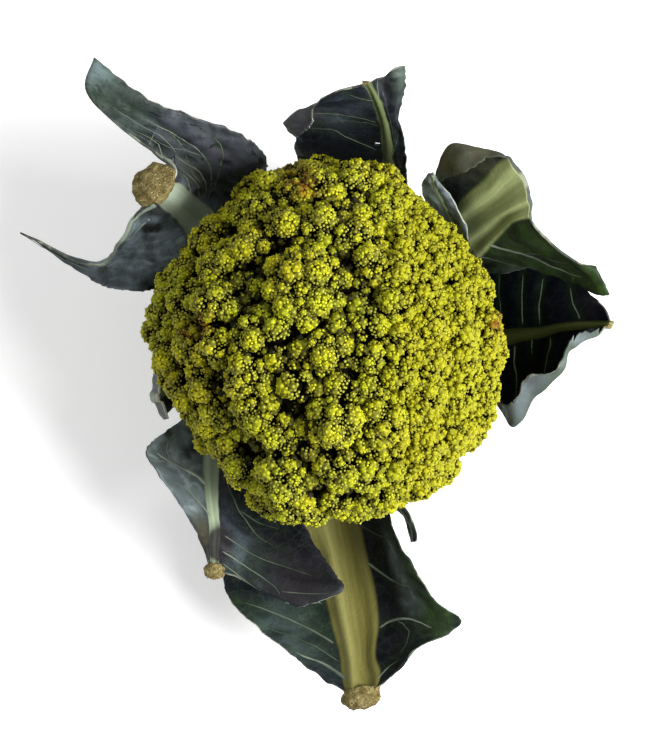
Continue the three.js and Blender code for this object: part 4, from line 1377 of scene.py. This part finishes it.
                  "shade": [(0.6, 1.6, 5, 0.7)], "torn": [(1.2, 2, 14, 1), (2.0, 1, 12, 1), (2.0, 0, 12, 1),
                                                    (2.0, 2, 12, 1)]},
    },
    "leaf_south_east": {
        "look": "grey", "cells": (14, 40), "strand": 0.4, "ridges": [(0.0, 0.7, 0.4)],
        "veins": [([(0.6, 1.1), (1.2, 1.6)], 0.3, 0.3), ([(1.6, 1.1), (2.1, 1.6)], 0.3, 0.3)],
        "tints": {"bloom": [(2.0, 1.6, 18, 0.7)], "shade": [(0.5, 0.8, 14, 0.8)]},
    },
}
BLADE_THICKNESS = 1.1
# The rib's share of the grid, and the most that it takes of the blade's own width.
RIB_SHARE, MOST_RIB = 0.26, 0.7
TINTS = ["bloom", "frost", "green", "purple", "brown", "shade", "overall_shade", "torn"]
MARKS = ["rib", "ridge", "vein", "across", "margin", "mottle", *TINTS]
print("leaves:", len(LEAVES), "veins:", sum(len(detail["veins"]) for detail in DETAIL.values()))


# %% The loft
NOISE_GAIN = 1.6
RAGGED_FROM = 0.8


def spline_weights(count, at):
    """How much each of `count` control points weighs at positions along their smooth curve."""
    at = np.clip(np.asarray(at, float), 0, count - 1)
    k = np.minimum(at.astype(int), count - 2)
    f = at - k
    weights = np.zeros((len(at), count + 2))
    row = np.arange(len(at))
    weights[row, k] += (-f + 2 * f**2 - f**3) / 2
    weights[row, k + 1] += 1 - 2.5 * f**2 + 1.5 * f**3
    weights[row, k + 2] += (f + 4 * f**2 - 3 * f**3) / 2
    weights[row, k + 3] += (f**3 - f**2) / 2
    weights[:, 1] += 2 * weights[:, 0]
    weights[:, 2] -= weights[:, 0]
    weights[:, -2] += 2 * weights[:, -1]
    weights[:, -3] -= weights[:, -1]
    return weights[:, 1:-1]


def wave(t, seed):
    """A smooth wandering number between about -1 and 1."""
    return np.array([noise.noise(Vector((float(v), seed * 7.3, 0.5))) for v in t]) * NOISE_GAIN


def field(points, scale, seed):
    """The same, in space: scale is the size of its lumps in millimetres."""
    offset = Vector((seed * 13.7, seed * 5.1, seed * 3.3))
    return np.array([noise.noise(Vector(p) / scale + offset) for p in points]) * NOISE_GAIN


class Loft:
    """A leaf's smooth surface. Stations count from the first one outside the stalk."""

    def __init__(self, spec, taper):
        self.rib = spec["rib"]
        self.taper = taper
        stalk, columns = spec["stalk"], len(spec["stations"][0])
        out = level(math.radians(stalk["angle"]))
        side = np.array([-out[1], out[0], 0])
        rows = []
        for i, height in enumerate(stalk["heights"]):
            share = np.linspace(-1, 1, columns)
            row = out * (STEM_RADIUS - 1 + i * stalk["run"]) + share[:, None] * side * stalk["half"]
            row[:, 2] = height + stalk["cup"] * share**2
            rows.append(row)
        self.control = np.array(rows + [np.array(s, float) for s in spec["stations"]])
        self.first = -len(rows)
        self.last = len(spec["stations"]) - 1
        self.columns = columns

    def at(self, station, column):
        """Places on the surface."""
        along = spline_weights(len(self.control), np.asarray(station, float) - self.first)
        across = spline_weights(self.columns, column)
        return np.einsum("nr,nc,rcd->nd", along, across, self.control)

    def rib_at(self, station):
        """The rib's middle at some stations."""
        return self.at(station, np.full(len(station), float(self.rib["column"])))

    def normal(self, station, column, step=0.12):
        """Unit normals of the surface, from its slopes a small step to each side."""
        station, column = np.asarray(station, float), np.asarray(column, float)
        along = self.at(np.clip(station + step, self.first, self.last), column)
        along -= self.at(np.clip(station - step, self.first, self.last), column)
        across = self.at(station, np.clip(column + step, 0, self.columns - 1))
        across -= self.at(station, np.clip(column - step, 0, self.columns - 1))
        return unit(np.cross(along, across))

    def rib_half(self, share_along):
        """Half the rib's width, which shrinks from the stem towards the tip."""
        start, end = self.rib["half"]
        return end + (start - end) * (1 - np.asarray(share_along)) ** self.taper

    def spread(self, share_along, share_across):
        """Station and column for grid places from 0 to 1 along and -1 to 1 across. The middle
        RIB_SHARE of the grid is the rib. Also how far across the rib, and how far from the
        margin in millimetres."""
        station = self.first + share_along * (self.last - self.first)
        middle = float(self.rib["column"])
        side = np.where(share_across < 0, 0.0, self.columns - 1.0)
        reach = np.linalg.norm(self.at(station, side) - self.rib_at(station), axis=1)
        rib_share = np.minimum(MOST_RIB, self.rib_half(share_along) / np.maximum(reach, 1e-6))
        a = np.abs(share_across)
        outer = rib_share + (1 - rib_share) * (a - RIB_SHARE) / (1 - RIB_SHARE)
        share = np.where(a < RIB_SHARE, rib_share * a / RIB_SHARE, outer)
        ragged = 0.55 * wave(station * 6.1 + side, 3) + 0.45 * wave(station * 17.0 + side, 4)
        outermost = np.clip((a - RAGGED_FROM) / (1 - RAGGED_FROM), 0, 1)
        share *= 1 - outermost * (0.9 + 0.9 * ragged) / np.maximum(reach, 8)
        column = middle + (side - middle) * share
        across_rib = np.where(a < RIB_SHARE, share_across / RIB_SHARE, np.sign(share_across))
        return station, column, across_rib, reach * (1 - share)


# %% The flat blade
UPPER_FACE, UNDER_FACE, RIM_FACE, CUT_FACE, VEIN_FACE = range(5)
LAYER_GAP = 0.02
IS_UPPER = -LAYER_GAP / 2


def vein_line(loft, places, step=1.6):
    """Points every few millimetres along a vein, their normals, and how far along they are."""
    places = np.array(places, float)
    t = np.linspace(0, len(places) - 1, 60)
    line = spline_weights(len(places), t) @ places
    points = loft.at(line[:, 0], line[:, 1])
    length = np.concatenate([[0], np.cumsum(np.linalg.norm(np.diff(points, axis=0), axis=1))])
    count = max(3, int(length[-1] / step))
    even = np.interp(np.linspace(0, length[-1], count), length, t)
    station, column = (spline_weights(len(places), even) @ places).T
    wander = 0.4 * wave(even * 2.3, int(places[0].sum() * 10) % 97)
    column = np.clip(column + 0.06 * wander, 0, loft.columns - 1)
    return loft.at(station, column), loft.normal(station, column), np.linspace(0, 1, count)


def edge_loops(edges):
    """Sorts loose boundary edges into closed loops."""
    loops, left = [], set(edges)
    while left:
        queue = [left.pop()]
        loop = []
        while queue:
            edge = queue.pop()
            loop.append(edge)
            for vert in edge.verts:
                for other in vert.link_edges:
                    if other in left:
                        left.discard(other)
                        queue.append(other)
        loops.append(loop)
    return loops


def blade_grid(cells, holes, loft, is_trimmed):
    """The flat grid laid down twice and closed along its margins, before it takes its form."""
    shape = bmesh.new()
    bmesh.ops.create_grid(shape, x_segments=cells[0], y_segments=cells[1], size=1.0)
    copy = bmesh.ops.duplicate(shape, geom=shape.verts[:] + shape.edges[:] + shape.faces[:])
    under = [item for item in copy["geom"] if isinstance(item, bmesh.types.BMVert)]
    bmesh.ops.translate(shape, verts=under, vec=(0, 0, -LAYER_GAP))
    middles = [face.calc_center_median() for face in shape.faces]
    share_along = np.array([(m.y + 1) / 2 for m in middles])
    station, column, _, _ = loft.spread(share_along, np.array([m.x for m in middles]))
    places = loft.at(station, column)
    gone = np.zeros(len(middles), bool)
    for hole_station, hole_column, radius in holes:
        centre = loft.at([hole_station], [hole_column])[0]
        gone |= np.linalg.norm(places - centre, axis=1) < radius
    faces = list(shape.faces)
    bmesh.ops.delete(shape, geom=[f for f, out in zip(faces, gone) if out], context="FACES")
    for face in shape.faces:
        face.material_index = UPPER_FACE if face.calc_center_median().z > IS_UPPER else UNDER_FACE
    loops = edge_loops([edge for edge in shape.edges if edge.is_boundary])
    loops.sort(key=len)
    for upper in [loop for loop in loops if loop[0].verts[0].co.z > IS_UPPER]:
        spot = upper[0].verts[0].co
        lower = min((loop for loop in loops if loop[0].verts[0].co.z < IS_UPPER),
                    key=lambda loop: min((e.verts[0].co - spot).length for e in loop))
        made = bmesh.ops.bridge_loops(shape, edges=upper + lower)
        for face in made["faces"]:
            middle = face.calc_center_median()
            is_cut = is_trimmed and middle.y > 0.999 and abs(middle.x) < RIB_SHARE
            face.material_index = CUT_FACE if is_cut else RIM_FACE
    return shape


# %% The relief of the blade and the rib
PLAIN_WRINKLES = (0.3, (1, 0, 0))
WRINKLE_SIZE = 5.5
FAR = 99.0
QUILT_REACH, QUILT_HEIGHT = 7.0, 0.9
# The blade's lumps: their height, their size and a seed.
LUMPS = [(0.55, 9, 1), (0.25, 4, 2)]
RUFFLE_REACH, RUFFLE_HEIGHT, RUFFLE_SIZE = 7, 1.3, 8
VEIN_BLUR = 2.4
AT_ONCE = 2000
CM = 10


def near_veins(place, veins):
    """How far each point lies from the nearest vein, in millimetres, taken in handy parts."""
    gap = np.full(len(place), FAR)
    for points, _, _ in veins:
        for start in range(0, len(place), AT_ONCE):
            part = slice(start, start + AT_ONCE)
            away = np.linalg.norm(place[part][:, None] - points[None], axis=2).min(axis=1)
            gap[part] = np.minimum(gap[part], away)
    return gap


def rib_ridges(ridges, x, along, across_rib):
    """The height of the rib's ridges on the upper face, and how raised each place is, 0 to 1."""
    relief = np.zeros(len(x))
    for at, width, height in ridges:
        relief += height * np.exp(-((across_rib - at) / (0.55 * width)) ** 2)
    highest = max(height for _, _, height in ridges)
    raised = np.clip(0.25 + relief / max(highest, 0.1), 0, 1)
    on_rib = np.clip((1 - np.abs(x) / RIB_SHARE) * 3, 0, 1)
    return relief * (on_rib * np.interp(along, [0, 0.3], [0.3, 1])), raised


def tint_marks(tints, loft, place):
    """How strongly each tint lies on each point."""
    marks = {}
    for tint in TINTS:
        amount = np.zeros(len(place))
        for station, column, radius, strength in tints.get(tint, []):
            away = np.linalg.norm(place - loft.at([station], [column])[0], axis=1)
            amount += strength * np.clip(1.25 - away / radius, 0, 1) ** 1.2
        marks[tint] = np.clip(amount, 0, 1)
    return marks


def lay_fibres(shape, fibre, loft, x, along, across_rib):
    """A map whose second axis runs along the rib, in centimetres, for fibres and dashes."""
    middles = loft.rib_at(np.linspace(loft.first, loft.last, 40))
    length = np.linalg.norm(np.diff(middles, axis=0), axis=1).sum()
    half = loft.rib_half(along)
    sideways = np.where(np.abs(x) < RIB_SHARE, across_rib * half,
                        np.sign(x) * (half + np.abs(np.abs(x) - RIB_SHARE) * 60))
    shape.verts.index_update()
    for face in shape.faces:
        for loop in face.loops:
            i = loop.vert.index
            loop[fibre].uv = (sideways[i] / CM, along[i] * length / CM)


def shape_blade(shape, loft, detail, veins):
    """Moves the flat grid's points to the leaf and writes the marks its finish reads."""
    layers = {key: shape.verts.layers.float.new(key) for key in MARKS}
    fibre = shape.loops.layers.uv.new("fibre")
    verts = list(shape.verts)
    x = np.array([v.co.x for v in verts])
    along = np.array([(v.co.y + 1) / 2 for v in verts])
    upper = np.array([v.co.z > IS_UPPER for v in verts])
    station, column, across_rib, to_margin = loft.spread(along, x)
    place = loft.at(station, column)
    normal = loft.normal(station, column)
    in_rib = 1 - np.abs(x) / RIB_SHARE
    on_rib = np.clip(in_rib * 4, 0, 1)
    blade = 1 - on_rib
    relief, raised = rib_ridges(detail["ridges"], x, along, across_rib)
    gap = near_veins(place, veins)
    quilt = QUILT_HEIGHT * np.minimum(gap, QUILT_REACH) / QUILT_REACH
    for height, size, seed in LUMPS:
        quilt += height * field(place, size, seed)
    near_margin = np.clip(1 - to_margin / RUFFLE_REACH, 0, 1)
    ruffle = near_margin * RUFFLE_HEIGHT * field(place, RUFFLE_SIZE, 3)
    wrinkle_height, wrinkle_way = detail.get("wrinkles", PLAIN_WRINKLES)
    way = unit(np.array(wrinkle_way, float))
    stretched = np.abs(field(place - 0.8 * (place @ way)[:, None] * way, WRINKLE_SIZE, 4))
    wrinkles = wrinkle_height * (0.5 - 1.4 * stretched)
    lift = relief + blade * ((quilt + wrinkles) * np.clip(to_margin / 4, 0.2, 1) + ruffle)
    thin = BLADE_THICKNESS * np.clip(0.55 + to_margin / 8, 0.55, 1)
    depth = np.interp(along, [0, 1], loft.rib["depth"])
    swell = depth * np.sqrt(np.clip(1 - across_rib**2, 0, 1))
    lower = lift * 0.9 - thin - swell * np.clip(in_rib * 5, 0, 1) ** 0.5
    place = place + normal * np.where(upper, lift, lower)[:, None]
    marks = {"rib": on_rib, "ridge": raised, "vein": np.exp(-(gap / VEIN_BLUR) ** 2),
             "across": across_rib, "margin": to_margin,
             "mottle": blade * np.clip(stretched * 3 - 1.4, 0, 1),
             **tint_marks(detail["tints"], loft, place)}
    for i, vert in enumerate(verts):
        vert.co = Vector(place[i] * MM)
        for key, layer in layers.items():
            vert[layer] = float(marks[key][i])
    lay_fibres(shape, fibre, loft, x, along, across_rib)


# %% Veins and cut ends
VEIN_TAPER, VEIN_TIP = 0.8, 0.05
# A vein below the leaf: its share of the radius above, and of the depth to which it is sunk.
UNDER_SHARE, UNDER_SINK = 1.1, 0.6


def add_mesh(shape, mesh, material_index):
    """Joins a mesh to the leaf, gives it one of the leaf's materials and returns its points."""
    known = len(shape.faces)
    shape.from_mesh(mesh)
    shape.faces.ensure_lookup_table()
    fresh = shape.faces[known:]
    smooth_faces(fresh)
    for face in fresh:
        face.material_index = material_index
    seams = list({vert for face in fresh for vert in face.verts})
    bmesh.ops.remove_doubles(shape, verts=seams, dist=1e-6)
    bpy.data.meshes.remove(mesh)
    return [vert for vert in seams if vert.is_valid]


def skin_points(skin, points, directions, reach=12.0):
    """Where the leaf's face is met from outside, along directions into the leaf."""
    found = []
    for point, direction in zip(points, directions):
        start = Vector((point - direction * reach) * MM)
        hit = skin.ray_cast(start, Vector(direction), 2 * reach * MM)[0]
        found.append(point if hit is None else np.array(hit) / MM)
    return np.array(found)


def vein_strands(shape, veins, detail):
    """Each vein twice: half sunk in the upper face, and standing out below. They are sorted by
    how pale they are."""
    skin = BVHTree.FromBMesh(shape)
    lines = {}
    for (points, normals, t), (_, half, paleness) in zip(veins, detail["veins"]):
        radii = half * detail["strand"] * (1 - VEIN_TAPER * t) + VEIN_TIP
        sunk = radii * (0.5 + 1.2 * np.clip((t - 0.8) / 0.2, 0, 1) + np.clip(1 - t / 0.1, 0, 1))
        above = skin_points(skin, points, -normals) - normals * sunk[:, None]
        below = skin_points(skin, points, normals) + normals * (sunk * UNDER_SINK)[:, None]
        lines.setdefault(paleness, []).extend([(above, radii), (below, radii * UNDER_SHARE)])
    return lines


def add_cut_end(shape, loft, half, depth, thickness, shift):
    """The dry, lumpy cut face that closes the midrib. Sizes are in millimetres."""
    middle = loft.rib_at(np.array([loft.last, loft.last - 0.25]))
    outward = unit(middle[0] - middle[1])
    up = loft.normal([loft.last], [loft.rib["column"]])[0]
    side = np.cross(outward, up)
    centre = middle[0] + outward * shift - up * depth * 0.55
    knob = bmesh.new()
    bmesh.ops.create_icosphere(knob, subdivisions=4, radius=1.0)
    for vert in knob.verts:
        across, over, forward = vert.co
        crumb = 1 + 0.16 * noise.noise(vert.co * 2.1) + 0.08 * noise.noise(vert.co * 8.0)
        bulge = thickness * (1 + 0.3 * noise.noise(vert.co * 5.0))
        spot = centre + side * across * half * crumb + up * over * depth * crumb
        spot = spot + outward * math.copysign(abs(forward) ** 0.7 * bulge, forward)
        vert.co = Vector(spot * MM)
    mesh = bpy.data.meshes.new("cut_end")
    knob.to_mesh(mesh)
    knob.free()
    add_mesh(shape, mesh, CUT_FACE)


def grow_leaf(name):
    """Blade, midrib, veins and cut end of one leaf, as one piece."""
    detail = DETAIL[name]
    loft = Loft(LEAVES[name], detail.get("taper", 1.0))
    veins = [vein_line(loft, places) for places, _, _ in detail["veins"]]
    is_trimmed = detail.get("trimmed", "cut" in detail)
    shape = blade_grid(detail["cells"], detail.get("holes", []), loft, is_trimmed)
    shape_blade(shape, loft, detail, veins)
    smooth_faces(shape.faces)
    for paleness, lines in vein_strands(shape, veins, detail).items():
        strands = add_mesh(shape, strands_mesh(lines), VEIN_FACE)
        layer = shape.verts.layers.float["vein"]
        for vert in strands:
            vert[layer] = paleness
    if "cut" in detail:
        add_cut_end(shape, loft, *detail["cut"])
    bmesh.ops.recalc_face_normals(shape, faces=shape.faces)
    piece = object_from(name + "_grown", shape, LEAF_FINISH[name])
    keep_piece(piece, name)


# %% [markdown]
# ## The finish of the leaves
# Wax makes a fresh leaf look blue-grey wherever it has not been rubbed off, and near black or deep
# green where it has. The wax, the greens, the stains and the painted shade come from marks that
# the shaping left on every point. Two effects serve every leaf material, so each is a node group:
# the mottled wax, and the net of the finest veins.

# %% Node groups for wax and for the net of fine veins
def new_group(name, inputs):
    """An empty group with float inputs and one float output, the mask."""
    tree = bpy.data.node_groups.new(name, "ShaderNodeTree")
    for socket, value in inputs.items():
        made = tree.interface.new_socket(socket, in_out="INPUT", socket_type="NodeSocketFloat")
        made.default_value = value
    tree.interface.new_socket("Mask", in_out="OUTPUT", socket_type="NodeSocketFloat")
    graph = Graph(tree)
    return graph, graph.node("NodeGroupInput").outputs, graph.node("NodeGroupOutput")


def wax_group():
    """1 where the wax is whole, 0 where it is rubbed away, in streaky blots."""
    g, given, result = new_group("wax", {"Scale": 90.0, "Cover": 0.5})
    blots = g.node("ShaderNodeTexNoise", Vector=g.place(), Scale=given["Scale"], Detail=5.0,
                   Roughness=0.62, Distortion=0.9).outputs["Fac"]
    above = g.math("SUBTRACT", blots, g.rest(given["Cover"]))
    g.feed(result, "Mask", g.ramp(above, -0.10, 0.12))
    return g.tree


def net_group():
    """1 on the net of the finest veins, which are the edges between bent cells."""
    g, given, result = new_group("vein_net", {"Scale": 150.0, "Width": 0.06})
    place = g.place()
    wobble = g.node("ShaderNodeTexNoise", Vector=place, Scale=260.0, Detail=1.0).outputs["Color"]
    smaller = g.node("ShaderNodeVectorMath", {"operation": "SCALE"}, Scale=0.003)
    g.feed(smaller, "0", wobble)
    bent = g.node("ShaderNodeVectorMath", {"operation": "ADD"})
    g.feed(bent, "0", place)
    g.feed(bent, "1", smaller.outputs[0])
    cells = g.node("ShaderNodeTexVoronoi", {"feature": "DISTANCE_TO_EDGE"},
                   Vector=bent.outputs[0], Scale=given["Scale"])
    near = g.math("DIVIDE", cells.outputs["Distance"], given["Width"])
    g.feed(result, "Mask", g.ramp(near, 1.0, 0.2))
    return g.tree


WAX = wax_group()
NET = net_group()
print("node groups:", WAX.name, NET.name)


def mask_of(graph, tree, **values):
    """Puts a node group into a material with its own values."""
    made = graph.node("ShaderNodeGroup", {"node_tree": tree})
    for key, value in values.items():
        graph.feed(made, key, value)
    return made.outputs["Mask"]


# %% Leaf materials
# Each leaf's colour under rubbed wax and under whole wax, how much wax covers it, the two tones of
# its midrib, how clear its net of fine veins is, how dark its dashes are, and its own frost.
PALETTES = {
    "leaf_south": {"deep": (0.005, 0.008, 0.011), "body": (0.014, 0.023, 0.020), "cover": 0.40,
                   "rib": ((0.088, 0.078, 0.013), (0.215, 0.205, 0.068)), "net": 0.07},
    # Painted light: a frost of its own, paler than FROST, lightens this leaf where the head's shadow falls
    # on it.
    "leaf_south_west": {"deep": (0.006, 0.008, 0.012), "body": (0.022, 0.029, 0.033), "cover": 0.45,
                        "rib": ((0.20, 0.245, 0.155), (0.38, 0.46, 0.32)), "net": 0.07,
                        "frost": (0.24, 0.30, 0.31)},
    # Painted shade: the east leaf's own colours are near black because it lies in shade.
    "leaf_east": {"deep": (0.0005, 0.0009, 0.003), "body": (0.0010, 0.0018, 0.0055), "cover": 0.36,
                  "rib": ((0.014, 0.018, 0.003), (0.048, 0.058, 0.018)), "net": 0.02},
    "leaf_north_east": {"deep": (0.004, 0.007, 0.006), "body": (0.012, 0.021, 0.007), "cover": 0.40,
                        "rib": ((0.110, 0.122, 0.040), (0.29, 0.335, 0.155)), "net": 0.05},
    "leaf_north": {"deep": (0.002, 0.003, 0.006), "body": (0.007, 0.011, 0.019), "cover": 0.38,
                   "rib": ((0.050, 0.060, 0.020), (0.095, 0.120, 0.050)), "net": 0.03},
    # Painted light: a frost of its own, paler than FROST, lightens this leaf where the head's shadow falls
    # on it.
    "leaf_north_west": {"deep": (0.006, 0.008, 0.009), "body": (0.044, 0.048, 0.052), "cover": 0.52,
                        "rib": ((0.24, 0.29, 0.20), (0.40, 0.47, 0.37)), "net": 0.05, "dash": 0.92,
                        "frost": (0.25, 0.32, 0.38)},
    "small": {"deep": (0.008, 0.011, 0.016), "body": (0.036, 0.044, 0.056), "cover": 0.52,
              "rib": ((0.120, 0.150, 0.085), (0.200, 0.250, 0.190)), "net": 0.05},
}
BLOOM = (0.066, 0.084, 0.110)
FROST = (0.170, 0.205, 0.215)
MOSS = (0.022, 0.052, 0.004)
LILAC = (0.040, 0.037, 0.050)
STAIN = (0.055, 0.052, 0.030)
TINT_COLOURS = {"green": MOSS, "bloom": BLOOM, "frost": FROST, "purple": LILAC, "brown": STAIN}
SHADOWED = (0.0012, 0.0018, 0.0040)
# Painted shade that is laid last, over the midrib too.
OVERALL_SHADE = (0.012, 0.009, 0.012)
VEIN_PALE = (0.10, 0.13, 0.075)
TORN = (0.50, 0.51, 0.43)
UNDER_GREEN = (0.090, 0.118, 0.090)
DASH = 0.35
LEAF_GLOSS, DULL_GLOSS = 0.18, 0.03
# For each face: its roughness, how much more wax it has, how strong its fine wax and its wear are,
# how strong its blots and its net are, and the colour beside its veins.
FACES = {
    "upper": {"rough": 0.5, "more_wax": 0.0, "fine": 0.25, "worn": 0.55, "blots": 1.0, "net": 1,
              "vein": MOSS},
    "under": {"rough": 0.62, "more_wax": 0.12, "fine": 0.10, "worn": 0.25, "blots": 0.4, "net": 2,
              "vein": VEIN_PALE},
}
UNDER_PALER = 0.72


def tinted(g, base, wax, worn, frost):
    """Lays the leaf's painted marks over its own colour, less where the wax is rubbed away."""
    rubbed = g.plus(g.times(wax, worn), 1 - worn)
    colour = base
    for mark, tint in {**TINT_COLOURS, "frost": frost}.items():
        colour = g.mix(g.times(g.attribute(mark), rubbed), colour, tint)
    return g.mix(g.times(g.attribute("shade"), 0.92), colour, SHADOWED)


def rib_colour(g, tones):
    """Long pale fibres, paler on the rib's ridges and darker in its grooves as painted highlight and shade,
    and more olive towards the blade.
    """
    fibres = g.noise(g.drawn_out(g.attribute("fibre", "Vector"), (9.0, 0.35, 1.0)), 1.0, 4)
    raised = g.plus(g.times(g.attribute("ridge"), 0.55), 0.22)
    share = g.math("ADD", raised, g.ramp(fibres, 0.3, 0.75, -0.14, 0.14), True)
    edge = g.ramp(g.math("ABSOLUTE", g.attribute("across")), 0.6, 1.0, 0.0, 0.8)
    return g.mix(edge, g.mix(share, *tones), tones[0])


def blade_material(name, palette, face):
    """A blade's face: wax, tints, mottles and dashes, the net, veins, torn margin and midrib. The
    under face is paler and calmer."""
    look = FACES[face]
    material = new_material(f"{name}_{face}", look["rough"],
                            DULL_GLOSS if name == "leaf_east" else LEAF_GLOSS)
    g, shader = graph_of(material)
    deep, body, frost = palette["deep"], palette["body"], palette.get("frost", FROST)
    wax = mask_of(g, WAX, Scale=95.0, Cover=palette["cover"] + look["more_wax"])
    fine_wax = mask_of(g, WAX, Scale=420.0, Cover=0.5)
    base = g.mix(wax, deep, body)
    base = g.mix(g.times(fine_wax, look["fine"]), base, body)
    if face == "under":
        base = g.mix(UNDER_PALER, base, UNDER_GREEN)
        frost = FROST
    colour = tinted(g, base, wax, look["worn"], frost)
    quiet = g.rest(g.times(g.attribute("frost"), 0.75))
    mottle = g.times(g.attribute("mottle"), 0.75 * look["blots"])
    colour = g.mix(g.times(mottle, quiet), colour, deep)
    drawn = g.drawn_out(g.attribute("fibre", "Vector"), (3.4, 1.3, 1.0))
    dashes = g.ramp(g.noise(drawn, 1.0, 3, 0.8), 0.60, 0.68)
    dashes = g.times(dashes, palette.get("dash", DASH) * look["blots"])
    colour = g.mix(g.times(dashes, quiet), colour, deep)
    net = mask_of(g, NET, Scale=170.0, Width=0.07)
    colour = g.mix(g.times(net, palette["net"] * look["net"]), colour, VEIN_PALE)
    colour = g.mix(g.times(g.attribute("vein"), 0.15), colour, look["vein"])
    torn = g.times(g.ramp(g.attribute("margin"), 1.6, 0.4), g.attribute("torn"))
    colour = g.mix(g.times(torn, g.ramp(fine_wax, 0.2, 0.6)), colour, TORN)
    colour = g.mix(g.ramp(g.attribute("rib"), 0.2, 0.8), colour, rib_colour(g, palette["rib"]))
    # Painted shade laid last, so that it darkens the midrib too.
    colour = g.mix(g.times(g.attribute("overall_shade"), 0.94), colour, OVERALL_SHADE)
    g.feed(shader, "Base Color", colour)
    g.feed(shader, "Roughness", g.ramp(fine_wax, 0.0, 1.0, 0.46, 0.68))
    height = g.plus(g.times(net, -0.5), g.times(g.noise(g.place(), 1500, 2), 0.3))
    g.feed(shader, "Normal", g.bump(height, 0.35, 0.0003))
    return material


STRAND_TONES = (0.012, 0.017, 0.009), (0.36, 0.42, 0.34)
STRAND_FADED = (0.014, 0.020, 0.016)
RIM_FRESH, RIM_DRY = (0.024, 0.032, 0.024), (0.24, 0.26, 0.18)
PITH_TONES = (0.105, 0.078, 0.024), (0.230, 0.190, 0.075)
PITH_CRUMBS, PITH_PORES = (0.42, 0.38, 0.20), (0.02, 0.013, 0.004)


def strand_material():
    """A raised vein, as pale as its mark says, and faded in places."""
    material = new_material("leaf_vein", 0.5, 0.2)
    g, shader = graph_of(material)
    place = g.place()
    colour = g.mix(g.attribute("vein"), *STRAND_TONES)
    faded = g.times(g.ramp(g.noise(place, 60, 3), 0.42, 0.66), 0.6)
    g.feed(shader, "Base Color", g.mix(faded, colour, STRAND_FADED))
    g.feed(shader, "Normal", g.bump(g.noise(place, 1200, 2), 0.25, 0.0003))
    return material


def rim_material():
    """The dried, torn margin of a blade."""
    material = new_material("leaf_rim", 0.7)
    g, shader = graph_of(material)
    place = g.place()
    dry = g.times(g.ramp(g.noise(place, 130, 4), 0.48, 0.62), 0.6)
    plain = g.mix(dry, RIM_FRESH, RIM_DRY)
    g.feed(shader, "Base Color", g.mix(g.attribute("torn"), plain, TORN))
    g.feed(shader, "Normal", g.bump(g.noise(place, 900, 3), 0.4, 0.0004))
    return material


def cut_material():
    """A dry cut through the midrib: tan pith, pale crumbs and dark pores."""
    material = new_material("leaf_cut", 0.85, 0.15)
    g, shader = graph_of(material)
    place = g.place()
    pith = g.mix(g.ramp(g.noise(place, 260, 4), 0.35, 0.7), *PITH_TONES)
    pores = g.node("ShaderNodeTexVoronoi", {"feature": "F1"}, Vector=place, Scale=900.0)
    holes = g.ramp(pores.outputs["Distance"], 0.30, 0.12)
    colour = g.mix(g.ramp(g.noise(place, 1100, 3), 0.60, 0.72), pith, PITH_CRUMBS)
    g.feed(shader, "Base Color", g.mix(g.times(holes, 0.8), colour, PITH_PORES))
    relief = g.math("SUBTRACT", g.times(g.noise(place, 500, 4), 1.4), holes)
    g.feed(shader, "Normal", g.bump(relief, 0.9, 0.0008))
    return material


RIM, CUT, STRAND = rim_material(), cut_material(), strand_material()
LEAF_FINISH = {}
for leaf_name in LEAVES:
    palette = PALETTES.get(leaf_name, PALETTES["small"])
    blades = [blade_material(leaf_name, palette, face) for face in FACES]
    LEAF_FINISH[leaf_name] = [*blades, RIM, CUT, STRAND]
print("leaf finishes:", 2 * len(LEAF_FINISH) + 3)

# %% The nine leaves
for leaf_name in LEAVES:
    grow_leaf(leaf_name)
